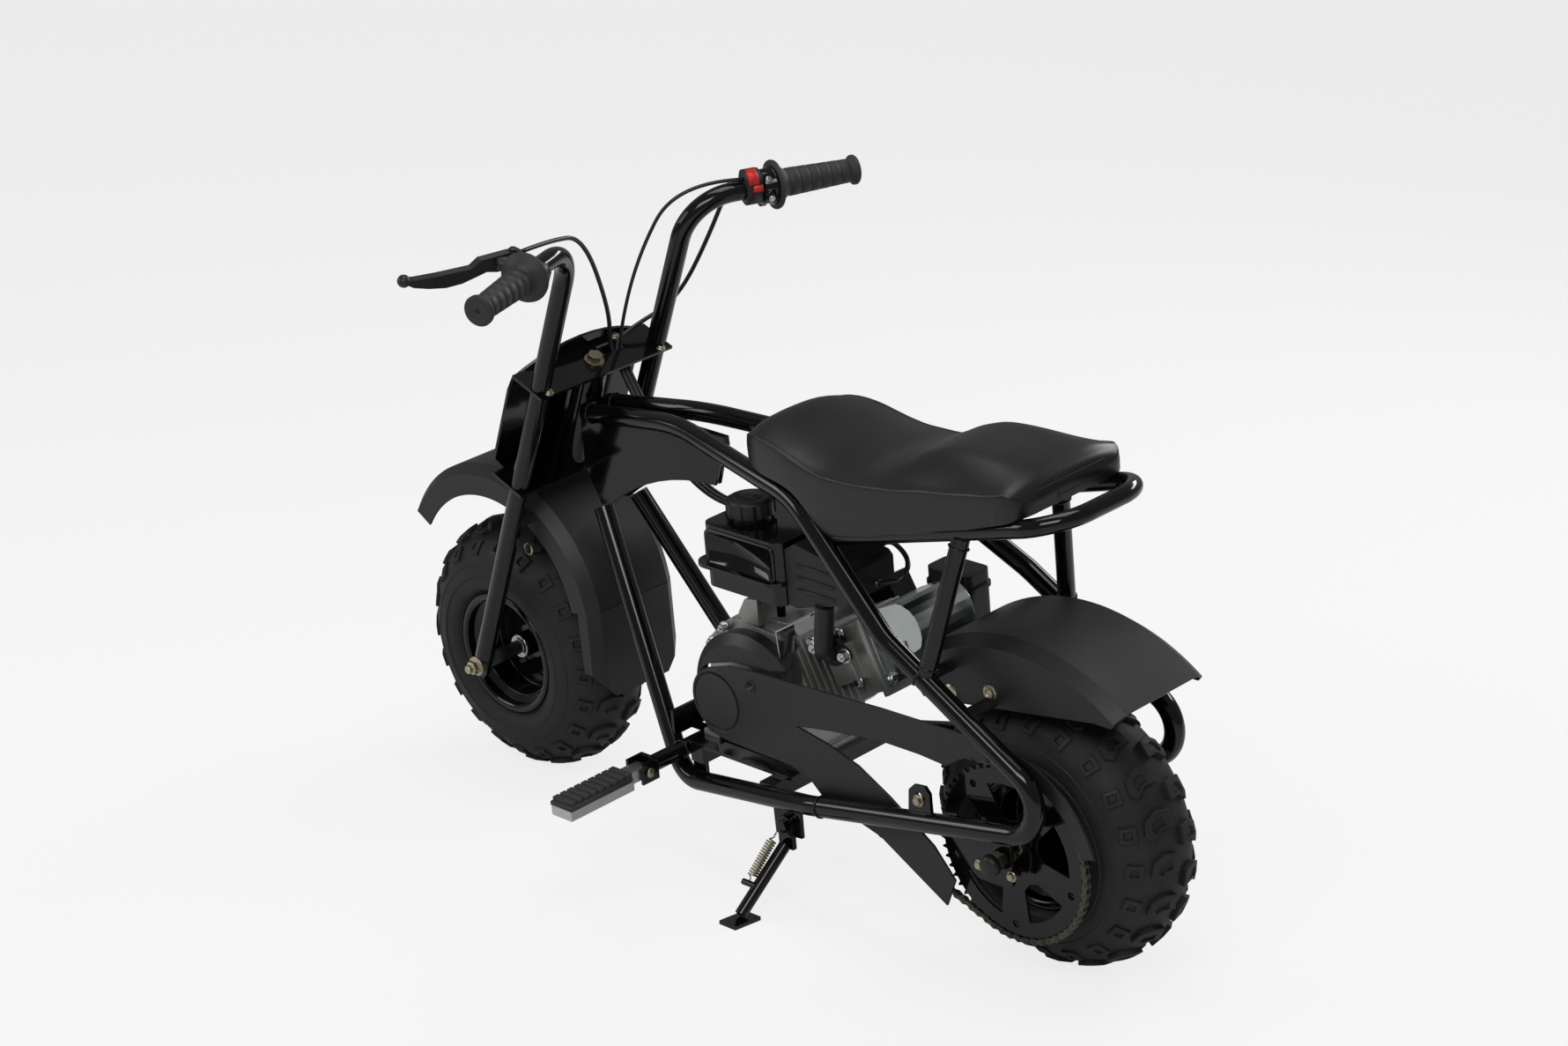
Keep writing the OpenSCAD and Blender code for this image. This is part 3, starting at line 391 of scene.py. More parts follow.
def tyre(name, x, body, node, facing):
    """Carcass, beads, side rings and lugs of a tyre about the axle at x."""
    shape = Shape()
    profile = []
    for i in range(-14, 15):
        a = math.radians(80) * i / 14
        profile.append((CROWN_C + (CROWN_R - LUG_H) * math.cos(a), (CROWN_R - LUG_H) * math.sin(a)))
    rim = [(RIM_R + 9, RIM_HALF + 7.5), (RIM_R + 6, RIM_HALF + 5.5), (RIM_R + 2, RIM_HALF + 3),
           (RIM_R + 1, RIM_HALF - 3), (RIM_R - 8, RIM_HALF - 3)]
    profile = [(r, -h) for r, h in reversed(rim)] + profile + rim
    shape.revolve(profile + [profile[0]], 144, ends=False)
    for side in (1, -1):
        for i in range(LUG_COUNT):
            along = (i + (0.5 if side < 0 else 0)) * 360 / LUG_COUNT
            for outline in (CHEVRON, SHOULDER):
                placed = [(along + facing * a, side * b) for a, b in outline]
                lug(shape, placed, shrink(placed, 0.5), LUG_H - (0.3 if outline is CHEVRON else 3.4))
        for groove in (0.2, 0.62):
            r = RIM_R + 14 + 40 * groove
            half = CROWN_R - LUG_H
            a = math.acos((r - CROWN_C) / half) if abs(r - CROWN_C) < half else 1.5
            shape.revolve([(r - 1.4, side * (half * math.sin(a) - 0.4)),
                           (r, side * (half * math.sin(a) + 0.9)),
                           (r + 1.4, side * (half * math.sin(a) - 0.4))], 120, ends=False)
    obj = shape.piece(name, "tyre_rubber", body, axle_frame(x), replaced=[node])
    for face in obj.data.polygons:
        face.use_smooth = len(face.vertices) == 4 and face.index < 144 * 38
    return obj


# Places on the bike
def aim(point, direction):
    """A frame at point whose local Z runs along direction."""
    return Matrix.Translation(Vector(point)) @ Vector(direction).to_track_quat("Z", "Y").to_matrix().to_4x4()


def from_fork(u, y, a):
    """A point of the fork's own frame, in the bike's frame."""
    c, s = math.cos(RAKE), math.sin(RAKE)
    return Vector((AXIS_X + u * c - a * s, y, AXIS_Z + u * s + a * c))


BARREL_AXIS = Vector((-math.sin(BARREL_LEAN), 0, math.cos(BARREL_LEAN)))
BARREL_ACROSS = Vector((math.cos(BARREL_LEAN), 0, math.sin(BARREL_LEAN)))


def on_barrel(across, y, up):
    """A point of the engine's barrel, up from its foot, in the bike's frame."""
    foot = Vector((CRANK[0], y, CRANK[1]))
    return foot + BARREL_AXIS * (BARREL_FOOT + up) + BARREL_ACROSS * across


def between(table, x):
    """Smoothly interpolated value of a table of (x, value) sorted by x."""
    for (x0, v0), (x1, v1) in zip(table, table[1:]):
        if x <= x1:
            t = min(max((x - x0) / (x1 - x0), 0), 1)
            t = t * t * (3 - 2 * t) * 0.5 + t * 0.5
            return v0 + (v1 - v0) * t
    return table[-1][1]


def bolt(shape, point, direction, size, height, washer=0.0):
    """A flanged hex bolt; size is across its flats."""
    place = aim(point, direction)
    if washer:
        shape.revolve([(0.01, 0), (washer, 0), (washer, 1.2), (washer - 0.5, 1.8), (0.01, 1.8)], 32, place)
    hexagon = [(size / math.sqrt(3) * math.cos(math.pi * i / 3),
                size / math.sqrt(3) * math.sin(math.pi * i / 3))
               for i in range(6)]
    shape.prism(hexagon, 0.5, height, place, bevel=size * 0.06)


# Seat
SEAT_TOP = [(-38.5, 622), (-36, 634), (-31, 641), (-22, 646), (0, 650), (40, 652), (80, 652), (108, 649),
            (135, 640), (165, 626), (200, 609), (231, 602), (260, 603), (296, 608), (343, 617),
            (375, 624), (400, 625), (420, 616), (434, 603), (440, 592)]
SEAT_SEAM = [(-38.5, 618), (-34, 628), (-22, 634), (12, 626), (92, 613), (164, 600), (229, 593),
             (276, 593), (299, 597), (322, 603), (345, 609), (368, 613), (392, 614), (412, 608),
             (430, 598), (440, 588)]
SEAT_LOW = [(-38.5, 604), (-11, 594), (51, 574), (142, 547), (217, 527), (262, 517), (284, 520),
            (300, 545), (332, 563), (425, 569), (440, 571)]
SEAT_BASE = [(-38.5, 605), (225, 536.5), (290, 539.5), (332, 567), (425, 573), (440, 573)]
SEAT_HALF = [(-38.5, 72), (-36, 84), (-31, 93), (-22, 99.5), (-12, 101.5), (60, 101.5), (200, 100.5),
             (262, 100), (330, 95), (380, 88), (400, 81), (420, 70), (434, 54), (440, 40)]
SEAT_STATIONS = [-38.5, -36, -31, -22, -8, 15, 40, 65, 88, 108, 124, 140, 156, 172, 188, 204, 220, 236,
                 255, 275, 292, 308, 325, 343, 362, 382, 400, 416, 428, 436, 440]


def seat_section(x):
    """Right half of the seat's section at x, from its top to its base, as (y, z)."""
    top, seam = between(SEAT_TOP, x), between(SEAT_SEAM, x)
    base = between(SEAT_BASE, x)
    low = min(between(SEAT_LOW, x), base - 0.4)
    half = between(SEAT_HALF, x)
    crown = top - seam
    flat = min(max((crown - 8) / 26, 0), 1)
    rise = []
    for t in (0, 0.2, 0.4, 0.55, 0.68, 0.8, 0.9, 0.965):
        fall = (1 - flat) * t ** 2.6 + flat * (0.03 * t + 0.97 * max((t - 0.5) / 0.5, 0) ** 1.5)
        rise.append(((half - 3) * t, top - crown * fall))
    side = [(half - 2.2, seam + 0.6), (half - 0.6, seam - 1.6), (half, seam - 8),
            (half + 0.6, (seam + low) / 2 + 4), (half - 0.2, low + 8), (half - 0.6, low + 1),
            (half - 1.6, low), (half - 3.2, low), (half - 3.9, low + 1), (half - 3.9, base),
            (half - 14, base), (half * 0.4, base)]
    return rise + side


def seat():
    """The foam seat under its cover, with the seam round its edge and the stitches beside it."""
    sections = [seat_section(x) for x in SEAT_STATIONS]
    n = len(sections[0])
    loop = []
    for x, section in zip(SEAT_STATIONS, sections):
        right = [(x, y, z) for y, z in section]
        left = [(x, -y, z) for y, z in reversed(section[1:])]
        loop.append(right + left)
    count = len(loop[0])
    shape = Shape()
    faces = grid_faces(len(loop), count)
    verts = [v for ring in loop for v in ring]
    last = (len(loop) - 1) * count
    for start in (0, last):
        for i in range(n - 1):
            mirror = [(count - i) % count, (count - i - 1) % count]
            faces.append((start + i, start + i + 1, start + mirror[1], start + mirror[0])
                         if mirror[0] != i else (start + i, start + i + 1, start + mirror[1]))
    shape.add(verts, faces)
    obj = shape.piece("seat_cover", "seat_vinyl", "chassis", replaced=["seat"])
    smoother = obj.modifiers.new("smooth", "SUBSURF")
    smoother.levels = smoother.render_levels = 2
    apply_modifiers(obj)
    wrinkle(obj)
    seam_path = []
    stitch_path = []
    for x in range(-20, 421, 5):
        half, seam = between(SEAT_HALF, x), between(SEAT_SEAM, x)
        seam_path.append((x, half - 1.6, seam))
        stitch_path.append((x, half - 5, seam + 2.2))
    rear = [(-38.2, y, between(SEAT_SEAM, -38.5) + 12) for y in range(-60, 61, 6)]
    line = Shape()
    stitches = Shape()
    for side in (1, -1):
        points = [on_surface(obj, (x, side * y, z)) for x, y, z in seam_path]
        line.sweep(points, 0.55 * MM, 6)
        thread = [on_surface(obj, (x, side * y, z)) for x, y, z in stitch_path]
        dashes(stitches, thread, 3.4, 1.7, 0.32)
    across = [on_surface(obj, p) for p in rear]
    line.sweep(across, 0.5 * MM, 6)
    drop = [on_surface(obj, (-38.5, 26 - 0.1 * k, 634 - k)) for k in range(0, 30, 2)]
    line.sweep(drop, 0.5 * MM, 6)
    line.piece("seat_seam", "seat_thread", "chassis", Matrix(), slot="seat_vinyl")
    stitches.piece("seat_stitches", "seat_thread", "chassis", Matrix(), slot="seat_vinyl")


def apply_modifiers(obj):
    """The mesh as its modifiers make it."""
    depsgraph = bpy.context.evaluated_depsgraph_get()
    done = bpy.data.meshes.new_from_object(obj.evaluated_get(depsgraph))
    obj.modifiers.clear()
    obj.data = done
    for face in obj.data.polygons:
        face.use_smooth = True


def wrinkle(obj):
    """Small puckers where the cover is pulled under at the rear corners."""
    back = TO_ROW.inverted()
    for vert in obj.data.vertices:
        p = back @ vert.co
        reach = max(0, 1 - abs(p.z - 606 + 0.26 * (p.x + 38)) / 16) * max(0, 1 - max(p.x, 0) / 70)
        if reach and abs(p.y) > 60:
            wave = math.sin(p.x * 0.55) + 0.6 * math.sin(p.x * 0.9 + p.y * 0.5)
            vert.co += (TO_ROW.to_3x3() @ Vector((0, math.copysign(1, p.y), 0.5))) * (0.7 * reach * wave)


def on_surface(obj, point):
    """The nearest place on a piece to a point of the bike's frame, in the row frame."""
    place, normal = obj.closest_point_on_mesh(TO_ROW @ Vector(point))[1:3]
    return place + normal * 0.0002


def dashes(shape, path, length, gap, radius):
    """Stitches along a path in the row frame; lengths in millimetres."""
    samples = []
    for a, b in zip(path, path[1:]):
        steps = max(1, int((b - a).length / 0.0008))
        samples += [a.lerp(b, k / steps) for k in range(steps)]
    i = 0
    span = max(2, int(length / 0.8))
    skip = max(1, int(gap / 0.8))
    while i + span < len(samples):
        shape.sweep([samples[i], samples[i + span // 2], samples[i + span]], radius * MM, 5)
        i += span + skip


# Cables
def cables():
    """Brake cable, throttle cable and switch wire, each in one piece from the bar to the engine."""
    run = [(758, -38, 592), (726, -40, 530), (640, -46, 440), (560, -60, 425), (483.1, -40, 425)]
    routes = {
        "brake_cable": [(-3, 179.4, 700), (14, 112, 684), (20, 48, 665), (14, -24, 530), (12, -38, 468)],
        "throttle_cable": [(-15, -165.4, 697.8), (-2, -168, 610), (14, -152, 500), (16, -80, 482),
                           (12, -45, 468)],
        "switch_wire": [(-33.2, -168.9, 715), (10, -92, 708), (14, -54, 600), (12, -52, 468)],
    }
    replaced = {"brake_cable": ["frame_cables", "bar_cables"]}
    for i, (name, upper) in enumerate(routes.items()):
        points = [from_fork(*p) for p in upper] + [Vector(p) + Vector((0, -6.4 * i, 0)) for p in run]
        path = [TO_ROW @ p for p in soft_path(points)]
        shape = Shape()
        radius = 0.0029 if i < 2 else 0.0024
        shape.sweep(path, radius, 12)
        obj = shape.piece(name, "cable_black", None, Matrix(), replaced=replaced.get(name, ()))
        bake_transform(obj)


def soft_path(points, steps=14):
    """A smooth curve near the points: their quadratic B-spline with its ends held."""
    path = [points[0]]
    for i in range(1, len(points) - 1):
        a = points[0] if i == 1 else (points[i - 1] + points[i]) / 2
        b = points[-1] if i == len(points) - 2 else (points[i] + points[i + 1]) / 2
        for k in range(1, steps + 1):
            t = k / steps
            path.append(a * (1 - t) ** 2 + points[i] * 2 * t * (1 - t) + b * t * t)
    return path


# Chain
SPROCKET_R = 112
PINION_R = 16
CHAIN_Y = 96
TEETH = 56


def chain_centres():
    """Pin places round the chain, equally spaced, in the bike's X and Z."""
    dx, dz = CRANK[0], CRANK[1] - WHEEL_R
    length = math.hypot(dx, dz)
    up = math.atan2(dz, dx)
    taper = math.asin((SPROCKET_R - PINION_R) / length)
    line = []
    for k in range(241):
        a = up + math.pi / 2 - taper + (math.pi + 2 * taper) * k / 240
        line.append(Vector((SPROCKET_R * math.cos(a), WHEEL_R + SPROCKET_R * math.sin(a))))
    for k in range(61):
        a = up - math.pi / 2 + taper + (math.pi - 2 * taper) * k / 60
        line.append(Vector((CRANK[0] + PINION_R * math.cos(a), CRANK[1] + PINION_R * math.sin(a))))
    line.append(line[0])
    lengths = [(b - a).length for a, b in zip(line, line[1:])]
    total = sum(lengths)
    count = 2 * round(total / (2 * math.pi * SPROCKET_R / TEETH) / 2)
    centres, walked, i = [], 0.0, 0
    for k in range(count):
        goal = total * k / count
        while walked + lengths[i] < goal:
            walked += lengths[i]
            i += 1
        centres.append(line[i].lerp(line[i + 1], (goal - walked) / lengths[i]))
    return centres


def chain():
    """Links in two alternating widths, with their rollers."""
    shape = Shape()
    centres = chain_centres()
    for i, a in enumerate(centres):
        b = centres[(i + 1) % len(centres)]
        along = (b - a).normalized()
        length = (b - a).length
        place = (Matrix.Translation((a.x, CHAIN_Y, a.y)) @ Matrix.Rotation(math.pi / 2, 4, "X")
                 @ Matrix.Rotation(math.atan2(along.y, along.x), 4, "Z"))
        plate = figure_eight(length, 4.2, 2.7)
        for low in ((2.6, 3.7) if i % 2 else (1.5, 2.6)), ((-3.7, -2.6) if i % 2 else (-2.6, -1.5)):
            shape.prism(plate, low[0], low[1], place, bevel=0.25)
        shape.revolve([(0.01, -4.3), (1.8, -4.3), (1.8, -1.5), (3.8, -1.5), (3.8, 1.5), (1.8, 1.5),
                       (1.8, 4.3), (0.01, 4.3)], 10, place)
    shape.piece("chain_links", "chain_steel", "chassis", smooth=False, replaced=["chain"])


def figure_eight(length, end, waist):
    """Outline of a link plate."""
    outline = []
    for k in range(7):
        a = math.pi / 2 + math.pi * k / 6
        outline.append((end * math.cos(a), end * math.sin(a)))
    outline.append((length / 2, -waist))
    for k in range(7):
        a = -math.pi / 2 + math.pi * k / 6
        outline.append((length + end * math.cos(a), end * math.sin(a)))
    outline.append((length / 2, waist))
    return outline


def sprocket_teeth():
    """Teeth between the rollers, and the zinc bolts of the sprocket."""
    shape = Shape()
    start = chain_centres()[0]
    phase = math.atan2(start.y - WHEEL_R, start.x)
    for i in range(TEETH):
        a = phase + 2 * math.pi * (i + 0.5) / TEETH
        place = (Matrix.Translation((0, CHAIN_Y, WHEEL_R)) @ Matrix.Rotation(math.pi / 2, 4, "X")
                 @ Matrix.Rotation(a, 4, "Z"))
        shape.prism([(105, -4), (108.5, -2.7), (113, -1.1), (113.8, 0), (113, 1.1), (108.5, 2.7),
                     (105, 4)], -1.3, 1.3,
                    place, bevel=0.4)
    shape.piece("sprocket_teeth", "gloss_black", "rear_wheel", smooth=False)
    bolts = Shape()
    for i in range(3):
        a = math.radians(i * 120 + 20)
        bolt(bolts, (24 * math.cos(a), CHAIN_Y + 6, WHEEL_R + 24 * math.sin(a)), (0, 1, 0), 11, 5.5)
    bolts.piece("sprocket_bolts", "zinc_steel", "rear_wheel", smooth=False)


# Fasteners and small fittings
def fasteners():
    """Bolts of the chassis: fenders, engine, brackets and the rear axle."""
    zinc = Shape()
    for x, z in ((98, 352), (35, 368)):
        place = aim((x, 80, z), (0, 1, 0))
        zinc.revolve([(0.01, 0), (10.5, 0), (10.5, 1), (8.5, 2.2), (5.5, 2.6), (4.6, 1.4), (0.01, 1.2)],
                     32, place)
    bolt(zinc, (114, 129.2, 226), (0, 1, 0), 10, 6, washer=8)
    bolt(zinc, (28, 123.3, 165), (0, 1, 0), 9, 5, washer=7)
    bolt(zinc, (-22, 123.3, 165), (0, 1, 0), 9, 5, washer=7)
    zinc.piece("frame_bolts", "zinc_steel", "chassis", smooth=False)
    bright = Shape()
    for x, y, z, size in ((325.7, 71.2, 348, 12), (277.3, 71.2, 349, 12), (528, 58, 200, 9),
                          (524, 58, 300, 9), (500, 58, 326, 9)):
        bolt(bright, (x, y, z), (0, 1, 0), size, 8, washer=size * 0.85)
        bright.revolve([(0.01, 6), (size * 0.24, 6), (size * 0.24, 11), (0.01, 11)], 16,
                       aim((x, y, z), (0, 1, 0)))
    for side in (1, -1):
        for across in (-38, 38):
            bolt(bright, on_barrel(across, side * 50, COVER_UP + 5), BARREL_AXIS, 9, 6, washer=7)
    for across, up in ((34, 36), (34, 91), (-30, 91)):
        bolt(bright, on_barrel(across, 60, up), (0, 1, 0), 9, 6, washer=7)
    bright.piece("engine_bolts", "bright_bolt", "chassis", slot="zinc_steel", smooth=False)
    dark = Shape()
    dark.revolve([(0.01, 132.1), (13.4, 132.1), (13.4, 138), (11.5, 141.5), (6, 143), (0.01, 143)], 40,
                 aim((0, 0, WHEEL_R), (0, 1, 0)))
    dark.piece("axle_cap", "dark_metal", "chassis")


def fork_fittings():
    """Axle bolts and spacers of the fork, and the bolts of the yoke and the front fender."""
    zinc = Shape()
    for side in (1, -1):
        spot = (WHEELBASE, side * 112.2, WHEEL_R)
        bolt(zinc, spot, (0, side, 0), 17, 11, washer=13.5)
        zinc.revolve([(0.01, 10), (5.8, 10), (5.8, 16), (5, 17), (0.01, 17)], 24, aim(spot, (0, side, 0)))
    place = aim((843, 76.3, 357), (0, 1, 0))
    zinc.revolve([(0.01, 0), (8.5, 0), (8.5, 1), (6.5, 2), (0.01, 2.2)], 32, place)
    for side in (1, -1):
        for u in (-22, 26):
            spot = from_fork(u, side * 98 if u < 0 else side * 60, 465.6)
            bolt(zinc, spot, from_fork(0, 0, 1) - from_fork(0, 0, 0), 8, 4.5, washer=6.5)
    zinc.piece("fork_bolts", "zinc_steel", "steering", smooth=False)
    tubes = Shape()
    for side in (1, -1):
        place = aim((WHEELBASE, side * 38, WHEEL_R), (0, side, 0))
        tubes.revolve([(6.2, 0), (9.6, 0), (9.6, 59), (6.2, 59)], 32, place)
    tubes.piece("axle_spacers", "dark_metal", "steering")


def hub_rings(x, body, name):
    """Bearing seals that show at the ends of a hub."""
    ring = Shape()
    for side in (1, -1):
        place = aim((x, side * 34.2, WHEEL_R), (0, side, 0))
        ring.revolve([(10.4, 0), (16.2, 0), (16.2, 1.6), (14.8, 2.4), (13.6, 1.2), (11.6, 1.2),
                      (10.4, 0.4)], 48, place)
    ring.piece(name, "bright_bolt", body, slot="zinc_steel")


def rim_rings(x, body, name):
    """Rolled lips of the wheel's two flanges and the steps of its well."""
    ring = Shape()
    for side in (1, -1):
        place = aim((x, 0, WHEEL_R), (0, side, 0))
        ring.revolve([(76, 60.9), (77.6, 62.8), (80.6, 63.6), (84, 63), (87.4, 61.4), (86, 60.8),
                      (80, 60.8)], 96, place,
                     ends=False)
        for r, h in ((66.8, 44), (64.5, 14)):
            loop = [Vector((r * math.cos(a), r * math.sin(a), h)) for a in
                    [2 * math.pi * k / 72 for k in range(73)]]
            ring.sweep([place @ p for p in loop], 1.4, 8, ends=False)
    ring.piece(name, "gloss_black", body)


# Weld beads
def weld(shape, centre, direction, radius, size=1.7):
    """An uneven bead round a tube."""
    place = aim(centre, direction)
    path, sizes = [], []
    for k in range(73):
        a = 2 * math.pi * k / 72
        path.append(place @ Vector((radius * math.cos(a), radius * math.sin(a), 0.5 * math.sin(a * 5))))
        sizes.append(size * (0.85 + 0.25 * math.sin(a * 22)))
    shape.sweep(path, sizes, 8, ends=False)


def welds():
    """Beads where the frame tubes meet."""
    shape = Shape()
    slope = Vector((243, 0, 146.9))
    for side in (1, -1):
        weld(shape, (98, side * SIDE_Y, 390.5), slope, 13.0)
        weld(shape, (282, side * SIDE_Y, 166.5), (427, 0, -77.1), 13.0)
        low, high = Vector((92, side * SIDE_Y, 388)), Vector((58, side * 87, 560))
        strut = high - low
        weld(shape, low + strut.normalized() * 15, strut, 11.4)
        weld(shape, high - strut.normalized() * 12, strut, 11.4)
        weld(shape, (PEG_X, side * 95, PEG_Z), (0, 1, 0), 11.4)
        neck = Vector((764, side * 20, 546))
        top = Vector((590, side * 26, 568)) - neck
        weld(shape, neck + top.normalized() * 12, top, 13.0)
    shape.piece("weld_beads", "gloss_black", "chassis")


# Handlebar
def grip_frame(side):
    """A frame at a grip's outer end: local Z runs outwards along the bar, X to the rear and Y up."""
    level = math.cos(BAR_TILT)
    d = Vector((-math.sin(BAR_SWEEP) * level, math.cos(BAR_SWEEP) * level, math.sin(BAR_TILT)))
    end = Vector(BAR_BEND) + d * ((GRIP_END_Y - BAR_BEND[1]) / d.y)
    d.y *= side
    end.y *= side
    rear = Vector((-abs(d.y), d.x * side, 0)).normalized()
    above = d.cross(rear) * side
    turn = Matrix((rear, above, d)).transposed().to_4x4()
    return Matrix.Translation(end) @ turn


def grips():
    """Ribbed rubber grips with a wide flange inside and an open end disc outside."""
    shape = Shape()
    for side in (1, -1):
        profile = [(12.9, -GRIP_LEN), (31.5, -GRIP_LEN), (32, -GRIP_LEN + 2), (31.2, -GRIP_LEN + 4.5),
                   (24, -GRIP_LEN + 7), (20.5, -GRIP_LEN + 13), (17.4, -GRIP_LEN + 17)]
        for k in range(6):
            h = -GRIP_LEN + 20 + 14.6 * k
            r = 18.2 - 0.5 * k
            profile += [(r - 0.9, h), (r, h + 0.8), (r - 0.1, h + 12.6), (r - 1.1, h + 13.4),
                        (r - 1.1, h + 14.4)]
        profile += [(15.6, -9), (17.5, -6.5), (19.3, -5), (19.5, -1.5), (18.4, 0), (4, 0), (3.4, -1),
                    (3.2, -4), (0.01, -4)]
        shape.revolve(profile, 64, grip_frame(side), ends=False)
    shape.piece("grip_rubbers", "grip_rubber", "steering", TO_FORK, replaced=["grips"])


def controls():
    """Throttle housing, switch box with its two red pads, and the brake lever's perch."""
    place = grip_frame(-1)
    base = -GRIP_LEN - 42
    box = Shape()
    box.prism([(-13, -17), (11, -17), (19, -10), (20, 6), (9, 23), (5, 25), (-8, 26), (-17, 20),
               (-18, -10)], base,
              base + 22.5, place, bevel=2)
    box.piece("switch_case", "charcoal_plastic", "steering", TO_FORK, replaced=["throttle_housing"])
    drum = Shape()
    drum.revolve([(13, base + 22.8), (21, base + 22.8), (22.5, base + 24), (22.5, base + 36),
                  (25.4, base + 37.5), (25.4, base + 41.4), (13, base + 41.4)], 64, place, ends=False)
    drum.prism([(-10, -27), (6, -27), (8, -20), (-12, -20)], base + 24, base + 35, place, bevel=1.5)
    drum.prism([(19, -7), (26, -6), (27, 4), (24, 9), (18, 10)], base + 24, base + 34, place, bevel=1.5)
    drum.piece("throttle_drum", "gloss_black", "steering", TO_FORK)
    pads = Shape()
    pads.prism([(-3, 24), (8.5, 22), (12.8, 15.8), (16.4, 17.8), (11.5, 27), (-2.5, 30)], base + 1.5,
               base + 15, place, bevel=0.8)
    pads.prism([(13.6, 14.8), (18, 8), (21.6, 9.8), (17.2, 16.8)], base + 6, base + 19.5, place, bevel=0.8)
    pads.piece("switch_pads", "red_button", "steering", TO_FORK, slot="charcoal_plastic")
    screws = Shape()
    for x, y in ((26.4, 0), (12, 19)):
        bolt(screws, place @ Vector((x, y, base + 29)), place.to_3x3() @ Vector((x, y, 0)), 6, 2.5,
             washer=4.5)
    screws.piece("control_screws", "bright_bolt", "steering", TO_FORK, slot="zinc_steel", smooth=False)
    perch = Shape()
    left = grip_frame(1)
    perch.prism([(-17, -9), (-17, 9), (-12, 16), (14, 16), (22, 8), (22, -8), (14, -16), (-12, -16)],
                -GRIP_LEN - 24, -GRIP_LEN - 3, left, bevel=2)
    perch.prism([(-10, -6), (12, -6), (12, 6), (-10, 6)], 0, 34,
                aim((-14, 186, 697), Vector((1, 190, 693)) - Vector((-14, 156, 694))), bevel=2)
    bolt(perch, (0, 190, 702), (0, 0, 1), 9, 5, washer=7)
    perch.piece("lever_perch", "charcoal_plastic", "steering", TO_FORK)


# Footpegs and stand
def peg_rubbers():
    """Black ribbed rubber on the footpegs."""
    for side, body in ((1, "footpeg_left"), (-1, "footpeg_right")):
        shape = Shape()
        where = TO_ROW @ Matrix.Diagonal((1, side, 1, 1))
        x0, x1 = PEG_X - 18.8, PEG_X + 18.8
        shape.prism([(x0, 197.6), (x1, 197.6), (x1, 303.5), (x0, 303.5)], PEG_Z + 0.5, PEG_Z + 7, bevel=1.2)
        x0, x1 = PEG_X - 17.6, PEG_X + 17.6
        for i in range(9):
            y = PEG_PIN_Y + 32 + i * 11.8
            rib = [(x0, y - 0.5), (x1, y - 0.5), (x1, y + 7.5), (x0, y + 7.5)]
            shape.prism(rib, PEG_Z + 3, PEG_Z + 12.6, bevel=1.2)
        shape.piece("peg_rubber_" + body[8:], "grip_rubber", body, where)
        pin = Shape()
        pin.revolve([(0.01, -19), (6, -19), (6.5, -17), (4, -16.5), (4, 16.5), (6.5, 17), (6, 19),
                     (0.01, 19)], 24,
                    aim((PEG_X, PEG_PIN_Y, PEG_Z), (1, 0, 0)))
        pin.piece("peg_pin_" + body[8:], "zinc_steel", "chassis", where)


def stand_spring():
    """Coil spring between the stand's peg and its bolt."""
    a, b = Vector((362, 184, 64)), Vector((352, 140, 116))
    place = aim(a, b - a)
    length = (b - a).length
    coils, steps = 14, 16
    path = []
    for k in range(coils * steps + 1):
        t = k / (coils * steps)
        angle = 2 * math.pi * coils * t
        path.append(place @ Vector((5.5 * math.cos(angle), 5.5 * math.sin(angle),
                                    length * (0.12 + 0.72 * t))))
    shape = Shape()
    shape.sweep([place @ Vector((0, 0, 0)), place @ Vector((0, 0, length * 0.06))] + path
                + [place @ Vector((0, 0, length * 0.9)), b], 1.1, 8)
    shape.piece("stand_spring", "zinc_steel", "side_stand")


# Relief of the guard, tank and engine
def guard_relief():
    """The guard's flat disc with the groove round it, and the fixing hole."""
    shape = Shape()
    place = aim((CRANK[0] + 0.7, GUARD_FACE - 1.1, CRANK[1]), (0, 1, 0))
    shape.revolve([(0.01, 0), (34.5, 0.1), (36.3, 0.4), (37.2, 1.4), (36.4, 1.9), (34.8, 1.7),
                   (0.01, 1.4)], 72, place)
    shape.revolve([(38.7, 0), (39.2, 1.4), (41, 1.9), (43, 1.1), (43.4, 0)], 72, place, ends=False)
    shape.piece("guard_disc", "charcoal_plastic", "chassis")
    hole = Shape()
    hole.revolve([(0.01, -8), (6.9, -8), (6.9, 1.1), (8.4, 1.5), (8.9, 1.1), (9, 0)], 40,
                 aim((404, GUARD_FACE - 0.1, 290), (0, 1, 0)), ends=False)
    hole.piece("guard_hole", "charcoal_plastic", "chassis")


